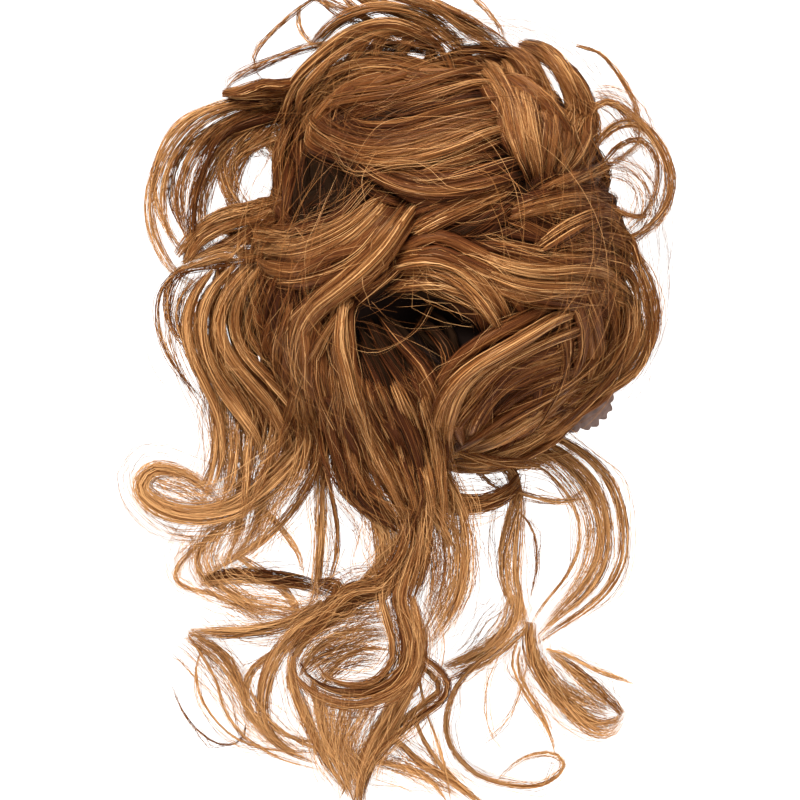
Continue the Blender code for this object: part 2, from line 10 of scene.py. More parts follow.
import bpy
import numpy as np
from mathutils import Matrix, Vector

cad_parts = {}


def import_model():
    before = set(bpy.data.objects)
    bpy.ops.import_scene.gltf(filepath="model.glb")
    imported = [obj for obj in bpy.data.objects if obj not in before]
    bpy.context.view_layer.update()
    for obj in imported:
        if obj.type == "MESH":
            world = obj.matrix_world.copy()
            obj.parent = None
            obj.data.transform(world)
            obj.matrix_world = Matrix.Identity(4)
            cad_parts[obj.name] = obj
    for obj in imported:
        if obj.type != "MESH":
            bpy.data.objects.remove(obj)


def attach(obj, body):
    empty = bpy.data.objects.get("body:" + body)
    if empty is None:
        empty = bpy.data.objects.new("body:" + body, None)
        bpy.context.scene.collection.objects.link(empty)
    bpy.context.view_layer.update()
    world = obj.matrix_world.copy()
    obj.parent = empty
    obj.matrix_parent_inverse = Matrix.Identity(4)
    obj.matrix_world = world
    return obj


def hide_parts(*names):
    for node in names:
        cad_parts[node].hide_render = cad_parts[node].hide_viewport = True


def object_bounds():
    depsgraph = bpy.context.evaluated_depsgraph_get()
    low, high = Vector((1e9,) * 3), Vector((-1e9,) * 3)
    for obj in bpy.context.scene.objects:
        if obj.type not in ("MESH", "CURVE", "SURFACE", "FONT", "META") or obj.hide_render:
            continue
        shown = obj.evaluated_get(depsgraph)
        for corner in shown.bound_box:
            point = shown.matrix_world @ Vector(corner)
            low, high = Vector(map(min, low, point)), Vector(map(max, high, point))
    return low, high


MM = 0.001

# Front view: real size of a pixel at the focus plane, and where the elastic's middle is
PX = 0.29 * MM
ORIGIN_ACROSS, ORIGIN_DOWN = 470, 300
VIEW_ACROSS, VIEW_DOWN = 400, 400
VIEW_PIXELS = 800
FOCUS_DEPTH = -35 * MM
CAMERA_DISTANCE = 1.2
SENSOR_WIDTH = 36.0

# Bun body, as in the solids
BUN_ACROSS, BUN_DOWN = 430, 250
POCKET_ACROSS, POCKET_DOWN = 418, 315
RIM_DEPTH = -14.0 * MM
FRONT_SWELL = 60.0 * MM
POCKET_DENT = 12.0 * MM
POCKET_SPREAD = 13.0 * MM
OUTLINE_STEP = 30
OUTLINE_RADII = np.array((53, 53, 57, 53, 54, 46, 47, 54, 60, 55, 61, 56)) * MM
SWELL_FALL, SWELL_ROUND = 2.4, 0.55

# How far the dark inner body lies under the bun's front, and the depth of the middle that the
# broad sides of locks face away from
BODY_INSET = 1.6 * MM
BUN_MIDDLE_DEPTH = -22 * MM

# Spacing of the points along a lock's route
ROUTE_STEP = 0.8 * MM

# A lock's end that lies this close on the bun goes into it, in mm
BURIED_BELOW, BURIED_RISE = 6, -2.0

# Elastic loop, as in the solids
ELASTIC_LOOP_RADIUS = 29.0 * MM
ELASTIC_TUBE_RADIUS = 3.2 * MM
SLIPPED_OUT = 18.0 * MM
SLIPPED_ANGLE = math.radians(-40)
SLIPPED_SPREAD = math.radians(32)

# The cloth sleeve, with finer folds than the solid's: how many folds, their depth, and the depth
# of its slow swells and of the ridges along it
ELASTIC_FOLDS = 64
FOLD_DEEP, SWELL_DEEP, RIDGE_DEEP = 0.42 * MM, 0.14 * MM, 0.10 * MM
RINGS_A_FOLD, SLEEVE_SIDES = 9, 18

# Its frill where the loop has slipped out: reach, height, depth of the folds, how many there would
# be round the whole loop, and how much closer together the rings lie there
FRILL_SPREAD = math.radians(9)
FRILL_HEIGHT, FRILL_DEEP = 1.5 * MM, 2.0 * MM
FRILL_FOLDS = 100
FRILL_CROWDING = 0.45

# Strands, as narrow ribbons: half their width, and the fewest and most points along one
STRAND_HALF_WIDTH = 0.125 * MM
STRAND_POINTS = (7, 44)

# Spread of shade between strands, and how much lighter airy ones are painted, as light through thin hair
STRAND_MOTTLE, AIRY_PAINTED_LIGHT = 0.18, 0.06

# Contrast of shade between locks, which holds painted light and shade as well as their tone, and how much
# lighter the tendrils are painted, as light through thin hair
SHADE_SPREAD, CURL_PAINTED_LIGHT = 1.35, 0.22

# How far a strand strays sideways, how much it rolls, in radians, and how many stray wildly
WANDER = 0.20 * MM
ROLL = 0.6
WILD_SHARE, WILD_STRAY = 0.12, 2.8

# Stray hairs: how many are tried, the sine of the directions below which the falls begin and none
# are placed, their points, and how much painted pocket shade darkens them
STRAY_HAIRS = 700
FALLS_BELOW = -0.62
STRAY_POINTS = 18
STRAY_PAINTED_SHADE = 2.2

# Fine hairs across the bun's locks, and the halo of the tendrils: how far they leave their lock
# in pixels, how far in front of it in mm, and how much lighter they are painted, as light through thin
# hair
FINE_STRAY, FINE_LIFT, FINE_PAINTED_LIGHT = 7.0, 1.5, 0.14
HALO_STRAY, HALO_PAINTED_LIGHT = 3.0, 0.24

# Filling locks beside their lock: shift in its widths, stray in pixels, sink in mm, size as a
# share of it, and how much darker they are painted, as shade under their lock
FILL_SHIFT, FILL_STRAY, FILL_SINK = (0.35, 0.75), 2.5, (2.0, 4.0)
FILL_SIZE, FILL_PAINTED_SHADE = 0.8, 0.08

# Half width of a clump as a share of its lane, so that neighbours overlap
OVERLAP = 0.72

# Inner body of a clump: sides, spacing of its rings, and how much darker it is painted, as shade inside
# the clump
CORE_SIDES = 12
CORE_STEP = 3.5 * MM
CORE_PAINTED_SHADE = 0.07

# Gloss of hair: specular level and tint, roughness of dark and of light hair, and relief
HAIR_SPECULAR, HAIR_TINT = 0.20, (1.0, 0.74, 0.44, 1)
HAIR_ROUGHNESS = (0.85, 0.32)
RELIEF_DEPTH, RELIEF_STRENGTH = 0.12 * MM, 0.5

# Fine grain of the colour: its size along and across the hair, and its strength
GRAIN_LENGTH = 22.0 * MM
GRAIN_WIDTH = 0.24 * MM
GRAIN_SHADE = 0.55

# Colour of hair from its darkest shade, 0, to its lightest, 1
HAIR_SHADES = ((0.0, (0.010, 0.003, 0.001, 1)), (0.22, (0.054, 0.011, 0.003, 1)),
               (0.5, (0.166, 0.053, 0.014, 1)), (0.75, (0.355, 0.150, 0.046, 1)),
               (1.0, (0.660, 0.350, 0.140, 1)))

# How a lock is made up: width of a clump, core's size, strands per mm of width, how empty the
# clump's middle is, spacing of the points, how far strands stray, strand breadth, how much
# clumps differ in shade, widths at start and tip, how much lighter the tip is painted, as light
# through the thin ends, over what share of the length strands end early, whether their broad
# side faces front, and whether they are on the bun
Kind = namedtuple("Kind", "clump core density hollow step wild coarse mottle start tip tip_light "
                          "fray front on_bun")
KINDS = {
    "full": Kind(3.3 * MM, 0.78, 15, 0.66, 4.4 * MM, 1.4, 0.9, 0.05, 0.5, 0.45, 0.0, 0.28,
                 False, True),
    "loose": Kind(3.0 * MM, 0.0, 16, 0.0, 3.4 * MM, 2.0, 0.72, 0.05, 0.55, 0.50, 0.05, 0.25,
                  True, True),
    "veil": Kind(4.5 * MM, 0.0, 3.5, 0.0, 4.0 * MM, 3.0, 0.6, 0.06, 0.8, 0.8, 0.05, 0.3,
                 True, True),
    "wisp": Kind(9.0 * MM, 0.0, 1.1, 0.0, 2.6 * MM, 2.6, 0.26, 0.06, 1.0, 1.0, 0.0, 0.2,
                 True, True),
    "under": Kind(4.6 * MM, 0.80, 5, 0.66, 6.0 * MM, 1.2, 1.0, 0.04, 0.5, 0.5, 0.0, 0.28,
                  False, True),
    "base": Kind(4.5 * MM, 0.88, 2, 0.8, 5.0 * MM, 0.5, 1.0, 0.05, 0.6, 0.6, 0.0, 0.28,
                 False, True),
    "rim": Kind(4.5 * MM, 0.85, 5, 0.7, 6.5 * MM, 1.4, 1.3, 0.05, 0.6, 0.8, 0.0, 0.2,
                False, False),
    "curl": Kind(2.8 * MM, 0.0, 15, 0.0, 3.4 * MM, 1.3, 0.8, 0.05, 0.6, 0.45, 0.10, 0.12,
                 True, False),
    "thin": Kind(4.5 * MM, 0.0, 7, 0.0, 3.6 * MM, 2.2, 0.62, 0.06, 0.7, 0.6, 0.10, 0.2,
                 True, False),
    "fine": Kind(16.0 * MM, 0.0, 0.8, 0.0, 4.0 * MM, 3.0, 0.30, 0.06, 0.9, 1.0, 0.0, 0.25,
                 True, True),
    "halo": Kind(9.0 * MM, 0.0, 2.6, 0.0, 3.6 * MM, 3.4, 0.45, 0.10, 0.9, 1.0, 0.10, 0.4,
                 True, False),
    "dense_curl": Kind(2.8 * MM, 0.6, 12, 0.4, 3.4 * MM, 1.4, 0.8, 0.05, 0.6, 0.5, 0.06, 0.14,
                       True, False),
}

# Painted shade in the bun's pockets: middle and reach in pixels, and how much darker. It fades out
# with the hair's lift in mm, and hair that lies deep down is painted darker everywhere, as shade.
Pocket = namedtuple("Pocket", "across down reach dark")
POCKET_PAINTED_SHADES = (Pocket(330, 188, 46, 0.62), Pocket(420, 316, 44, 0.44), Pocket(392, 112, 26, 0.20),
                Pocket(510, 176, 26, 0.26), Pocket(474, 398, 26, 0.22), Pocket(284, 418, 24, 0.20),
                Pocket(450, 240, 34, 0.22), Pocket(400, 362, 26, 0.20), Pocket(286, 112, 22, 0.22),
                Pocket(516, 402, 30, 0.24), Pocket(264, 372, 26, 0.24),
                Pocket(366, 404, 34, 0.24), Pocket(612, 196, 18, 0.24))
DEEP_LIFT, DEEP_PAINTED_SHADE = 7.0, 0.30
POCKET_LIFT = 10.0

# Locks under the others, painted dark as shade: how many, and how far from the pocket's middle they stay
UNDER_COUNT = 44
POCKET_CLEAR = 17 * MM

# Painted shade on the tendrils near the bun that they hang from, and on the rim locks: from where
# to where down the view it fades, how much darker they are, and how far behind the elastic's plane it has
# faded out
ROOT_TOP, ROOT_BOTTOM = 440, 540
ROOT_PAINTED_SHADE, ROOT_BACK = 0.20, 14 * MM

# Rim locks: radius in mm that they start from, and how many in each layer
RIM_START = 37
RIM_COUNTS = (30, 26)

# Where a rim lock goes after the elastic: share of the outline's radius and depth in mm, with
# None for the rounded front
RIM_STEPS = ((0.80, 5.5), (1.01, -3), (1.03, -12), (1.00, -21), (0.93, None))

# Rings of the dark inner body, from inside the pocket round to inside the hollow: whose middle
# they go round, radius in mm, share of the way from there to the outline, and depth in mm, with
# None for just under the rounded front
BodyRing = namedtuple("BodyRing", "middle reach share depth")
BODY_RINGS = (
    BodyRing("pocket", 4.0, 0.00, -50), BodyRing("pocket", 11.0, 0.00, -57),
    BodyRing("pocket", 11.5, 0.25, None), BodyRing("pocket", 11.5, 0.56, None),
    BodyRing("pocket", 11.5, 0.80, None), BodyRing("pocket", 11.5, 0.94, None),
    BodyRing("hollow", 33.6, 0.97, -16), BodyRing("hollow", 33.6, 0.82, -4),
    BodyRing("hollow", 33.6, 0.45, 3.0), BodyRing("hollow", 33.6, 0.02, 2.0),
    BodyRing("hollow", 33.8, 0.00, -8), BodyRing("hollow", 25.5, 0.00, -34),
    BodyRing("pocket", 10.0, 0.00, -42),
)
BODY_SIDES = 96

# Soft lights: place in metres, side of the square and power in watts, all turned to the bun
Light = namedtuple("Light", "name place side power")
LIGHTS = (Light("key", (-0.35, -1.05, 0.70), 0.4, 22), Light("fill", (0.8, -0.9, -0.1), 0.8, 5),
          Light("top", (0.1, -0.1, 1.1), 0.6, 6))
LIGHT_TARGET_DEPTH = -20 * MM

# Stage: the light all round, the lit backdrop far behind, and the floor, which reaches forward
# only, so that the front view keeps its white backdrop
ROUND_COLOUR, ROUND_LIGHT = (1.0, 0.90, 0.82, 1), 0.34
BACKDROP_SIZE, BACKDROP_DEPTH, BACKDROP_LIGHT = 1.3, 3.0, 0.95
FLOOR_SIZE, FLOOR_DEPTH, FLOOR_DROP = 14.0, -5.5, 0.15

# Seed of the first group of locks
FIRST_SEED = 1000

# A lock: full width and thickness in mm, shade from 0 dark to 1 light, which holds its own tone and
# painted light and shade where it lies lit or deep, and its route
Lock = namedtuple("Lock", "width thick shade route kind", defaults=("full",))

# Locks and loops along the crown
CROWN_LOCKS = (
    Lock(4.6, 3.6, 0.58, ((290, 150, 1), (287, 118, 6), (295, 86, 13), (317, 58, 17), (350, 32, 18),
         (390, 21, 18), (424, 32, 16), (447, 54, 10), (456, 80, 2))),
    Lock(3.2, 2.6, 0.60, ((300, 128, 5), (301, 94, 14), (324, 64, 18), (356, 42, 18), (392, 31, 17),
         (422, 43, 12), (438, 68, 4))),
    Lock(4.4, 3.0, 0.54, ((376, -10, 5), (406, 0, 17), (436, 11, 18), (464, 31, 15), (492, 46, 10),
         (510, 66, 2)), "loose"),
    Lock(3.6, 3.0, 0.48, ((414, -10, 5), (444, 6, 14), (472, 24, 14), (504, 44, 8),
         (520, 62, 2)), "loose"),
    Lock(3.2, 2.8, 0.58, ((300, -10, 5), (328, 1, 14), (352, 13, 15), (376, 26, 13),
         (404, 50, 7)), "loose"),
    Lock(2.4, 2.2, 0.54, ((340, -9, 5), (360, 12, 11), (384, 36, 9), (404, 64, 3)), "loose"),
    Lock(6.4, 4.0, 0.50, ((300, 96, 5), (326, 76, 12), (360, 62, 12), (398, 62, 12), (436, 70, 9),
         (466, 74, 3))),
    Lock(5.4, 3.8, 0.44, ((306, 92, 5), (340, 84, 9), (384, 76, 9), (424, 82, 7), (452, 78, 3))),
    Lock(5.4, 3.5, 0.50, ((346, 88, 5), (350, 62, 13), (360, 42, 15), (370, 30, 15), (392, 26, 14))),
    Lock(5.4, 3.5, 0.58, ((372, 88, 5), (374, 62, 12), (380, 44, 14), (388, 32, 14), (404, 28, 13))),
    Lock(5.4, 3.5, 0.54, ((400, 84, 4), (402, 62, 10), (406, 46, 13), (412, 38, 13), (424, 36, 12))),
    Lock(5.0, 3.5, 0.44, ((426, 80, 3), (430, 62, 9), (432, 50, 11), (436, 44, 10))),
    Lock(3.2, 2.8, 0.56, ((334, 43, 9), (304, 48, 14), (278, 56, 17), (252, 67, 18), (233, 78, 18),
         (225, 90, 17), (238, 98, 15)), "loose"),
    Lock(8.4, 4.6, 0.58, ((222, 94, 16), (246, 92, 16), (268, 89, 13), (292, 86, 9), (316, 86, 4))),
    Lock(4.4, 3.4, 0.34, ((227, 99, 14), (250, 103, 13), (276, 104, 10), (302, 106, 4))),
    Lock(3.6, 3.0, 0.28, ((236, 106, 11), (262, 112, 9), (290, 114, 3))),
    Lock(4.4, 3.4, 0.38, ((440, 60, 4), (470, 50, 8), (500, 52, 7), (520, 60, 4))),
    Lock(5.4, 4.0, 0.36, ((302, 118, 5), (270, 114, 9), (240, 119, 11), (214, 134, 12), (196, 158, 12))),
    Lock(5.0, 3.4, 0.54, ((314, 44, 8), (342, 20, 15), (380, 9, 17), (420, 15, 15), (452, 34, 10),
         (472, 60, 4)), "loose"),
    Lock(5.0, 3.4, 0.46, ((326, 62, 8), (354, 38, 14), (388, 29, 15), (420, 38, 12),
         (442, 60, 6)), "loose"),
    Lock(7.0, 3.6, 0.36, ((330, 70, 3), (362, 53, 6), (398, 47, 7), (428, 50, 5), (448, 64, 3)), "loose"),
)

# The crown roll and the fan of locks at the upper right
UPPER_LOCKS = (
    Lock(5.6, 4.5, 0.56, ((508, 62, 3), (480, 62, 7), (446, 68, 10), (408, 78, 9), (366, 88, 8),
         (330, 92, 8), (309, 104, 8), (308, 122, 7), (326, 140, 7), (356, 151, 8), (396, 151, 9),
         (436, 140, 9), (478, 125, 8), (522, 116, 3))),
    Lock(5.4, 4.5, 0.50, ((508, 76, 3), (478, 72, 6), (444, 80, 8), (404, 92, 7), (362, 98, 7),
         (330, 106, 7), (320, 118, 6), (338, 132, 6), (372, 141, 7), (412, 138, 7), (452, 126, 7),
         (494, 116, 6), (524, 112, 2))),
    Lock(5.0, 4.0, 0.46, ((512, 90, 2), (480, 84, 5), (446, 92, 6), (408, 102, 5), (368, 110, 5),
         (346, 118, 4), (366, 127, 5), (404, 127, 5), (444, 116, 5), (488, 106, 5), (520, 104, 2))),
    Lock(4.6, 3.6, 0.40, ((352, 112, 1), (392, 116, 3), (434, 106, 4), (472, 96, 4), (512, 98, 2))),
    Lock(5.0, 4.0, 0.62, ((320, 128, 5), (338, 145, 8), (368, 158, 9), (404, 160, 9), (446, 150, 9),
         (486, 134, 7), (526, 124, 2))),
    Lock(4.4, 3.8, 0.50, ((338, 148, 4), (362, 166, 7), (386, 181, 8), (414, 190, 9), (442, 192, 9),
         (474, 187, 8), (506, 178, 6), (538, 168, 2))),
    Lock(4.2, 3.6, 0.40, ((346, 152, 3), (374, 169, 5), (404, 178, 6), (440, 180, 7), (476, 174, 6),
         (510, 164, 4), (536, 158, 1))),
    Lock(4.2, 3.6, 0.46, ((362, 156, 3), (398, 166, 4), (440, 166, 5), (480, 156, 4), (526, 142, 1))),
    Lock(6.0, 5.0, 0.54, ((478, 62, 4), (494, 76, 9), (507, 102, 10), (514, 130, 9), (522, 158, 7),
         (532, 186, 1))),
    Lock(7.0, 5.0, 0.62, ((490, 54, 5), (512, 70, 11), (525, 98, 13), (531, 128, 12), (536, 158, 8),
         (538, 188, 1))),
    Lock(7.6, 5.0, 0.58, ((504, 48, 5), (530, 62, 13), (545, 92, 15), (549, 124, 13), (546, 156, 9),
         (541, 188, 1))),
    Lock(7.6, 5.0, 0.54, ((520, 45, 5), (549, 60, 14), (566, 88, 16), (570, 120, 14), (561, 153, 9),
         (545, 186, 1))),
    Lock(6.0, 4.6, 0.54, ((530, 50, 4), (560, 66, 13), (578, 94, 15), (582, 124, 13), (573, 154, 9),
         (549, 184, 2))),
    Lock(3.6, 3.2, 0.46, ((540, 54, 4), (571, 72, 12), (588, 100, 13), (591, 130, 12), (580, 160, 8),
         (552, 188, 2))),
    Lock(3.0, 2.6, 0.44, ((548, 60, 4), (572, 84, 10), (592, 110, 12), (596, 136, 11), (584, 166, 8),
         (560, 188, 2)), "loose"),
)

# The bright roll, the belt to the left, the arc over the pocket and what lies between
MIDDLE_LOCKS = (
    Lock(4.6, 4.0, 0.40, ((303, 108, 4), (296, 132, 5), (292, 158, 5), (291, 186, 5), (288, 212, 5),
         (282, 240, 4))),
    Lock(3.4, 3.0, 0.24, ((312, 128, 2), (308, 156, 3), (306, 184, 3), (302, 212, 3), (296, 238, 3))),
    Lock(4.0, 3.4, 0.16, ((322, 140, 2), (330, 164, 1), (344, 186, 1), (352, 208, 2), (348, 226, 3))),
    Lock(3.6, 3.2, 0.44, ((336, 148, 2), (352, 172, 3), (372, 190, 4), (392, 200, 5), (414, 204, 5))),
    Lock(8.5, 5.0, 0.68, ((394, 190, 4), (374, 208, 6), (350, 228, 7), (322, 243, 8), (296, 252, 8),
         (268, 254, 9), (238, 250, 10), (206, 256, 12), (174, 270, 13))),
    Lock(5.0, 4.0, 0.60, ((372, 196, 3), (352, 214, 5), (322, 230, 6), (290, 238, 7), (258, 236, 8),
         (222, 232, 9), (190, 240, 11))),
    Lock(5.2, 4.0, 0.60, ((424, 194, 5), (402, 222, 7), (386, 245, 9), (366, 266, 9), (342, 286, 9),
         (318, 304, 9), (303, 326, 9), (298, 356, 9), (302, 390, 8), (312, 424, 5), (318, 452, 1))),
    Lock(3.8, 3.2, 0.48, ((402, 206, 3), (382, 230, 5), (364, 254, 5), (338, 272, 5), (306, 282, 5),
         (272, 284, 6))),
    Lock(4.6, 3.6, 0.46, ((440, 202, 3), (426, 228, 4), (412, 252, 4), (394, 270, 4), (368, 290, 4),
         (346, 310, 3))),
    Lock(5.2, 4.0, 0.60, ((400, 240, 3), (424, 227, 5), (450, 215, 6), (478, 204, 6), (504, 190, 5),
         (524, 176, 3))),
    Lock(4.8, 3.6, 0.44, ((420, 246, 2), (446, 238, 4), (474, 226, 5), (502, 208, 5), (528, 190, 3))),
    Lock(5.2, 4.0, 0.54, ((492, 222, 3), (520, 213, 5), (548, 206, 6), (576, 201, 8), (604, 206, 11),
         (628, 216, 13), (654, 214, 13))),
    Lock(4.4, 3.6, 0.42, ((488, 214, 3), (520, 222, 4), (548, 236, 5), (576, 240, 6), (606, 236, 9),
         (634, 240, 11))),
    Lock(4.4, 3.6, 0.52, ((524, 198, 3), (548, 188, 5), (572, 178, 7), (592, 168, 7), (604, 158, 4))),
    Lock(3.0, 2.6, 0.56, ((540, 194, 4), (572, 182, 8), (602, 168, 12), (626, 154, 13), (642, 138, 13),
         (636, 122, 13)), "loose"),
    Lock(4.0, 3.4, 0.42, ((532, 204, 3), (562, 196, 5), (590, 194, 7), (612, 198, 7), (616, 204, 3))),
    Lock(5.0, 4.0, 0.48, ((520, 262, 3), (546, 244, 5), (574, 226, 7), (600, 216, 10), (618, 224, 12),
         (626, 244, 12))),
    Lock(9.0, 5.5, 0.58, ((384, 272, 3), (408, 266, 6), (434, 264, 8), (462, 272, 8), (484, 288, 7),
         (500, 310, 5), (510, 338, 3))),
    Lock(4.2, 3.6, 0.50, ((392, 262, 3), (424, 252, 5), (456, 254, 6), (484, 264, 6), (508, 284, 6),
         (528, 308, 4))),
    Lock(8.6, 5.0, 0.60, ((462, 252, 3), (486, 262, 6), (514, 272, 8), (544, 277, 8), (574, 279, 8),
         (604, 286, 9), (630, 300, 10))),
    Lock(5.0, 4.0, 0.44, ((452, 244, 2), (482, 244, 4), (516, 248, 5), (550, 256, 5), (584, 262, 7),
         (616, 268, 9))),
    Lock(4.6, 4.0, 0.40, ((500, 286, 3), (530, 296, 5), (560, 300, 6), (592, 306, 8), (618, 322, 10))),
    Lock(4.4, 3.4, 0.46, ((298, 112, 4), (287, 134, 7), (281, 160, 7), (279, 190, 7), (274, 218, 8),
         (260, 244, 9))),
    Lock(3.6, 3.0, 0.40, ((290, 116, 4), (277, 138, 6), (272, 166, 5), (277, 194, 5), (288, 218, 5),
         (302, 234, 3))),
    Lock(5.0, 3.6, 0.54, ((286, 196, 3), (258, 206, 7), (232, 218, 9), (206, 232, 11), (190, 252, 12))),
    Lock(4.6, 3.6, 0.44, ((300, 220, 4), (270, 226, 7), (240, 236, 9), (214, 248, 10), (188, 262, 12))),
    Lock(5.4, 4.0, 0.50, ((548, 262, 4), (580, 252, 7), (610, 256, 10), (632, 276, 12), (640, 304, 12))),
    Lock(5.4, 4.0, 0.56, ((596, 292, 6), (622, 300, 9), (636, 324, 11), (632, 354, 11), (612, 380, 9))),
    Lock(4.6, 3.6, 0.46, ((560, 206, 5), (592, 212, 8), (618, 230, 11), (634, 254, 12), (640, 282, 12))),
    Lock(5.4, 4.0, 0.26, ((322, 82, 3), (302, 100, 4), (293, 124, 4), (288, 152, 3), (286, 184, 2),
         (284, 214, 2))),
    Lock(4.6, 3.6, 0.34, ((300, 96, 5), (286, 118, 6), (280, 146, 5), (282, 178, 4), (290, 206, 3))),
    Lock(6.4, 4.2, 0.50, ((384, 284, 3), (408, 278, 5), (436, 279, 6), (462, 289, 6), (482, 306, 5),
         (494, 328, 3))),
)

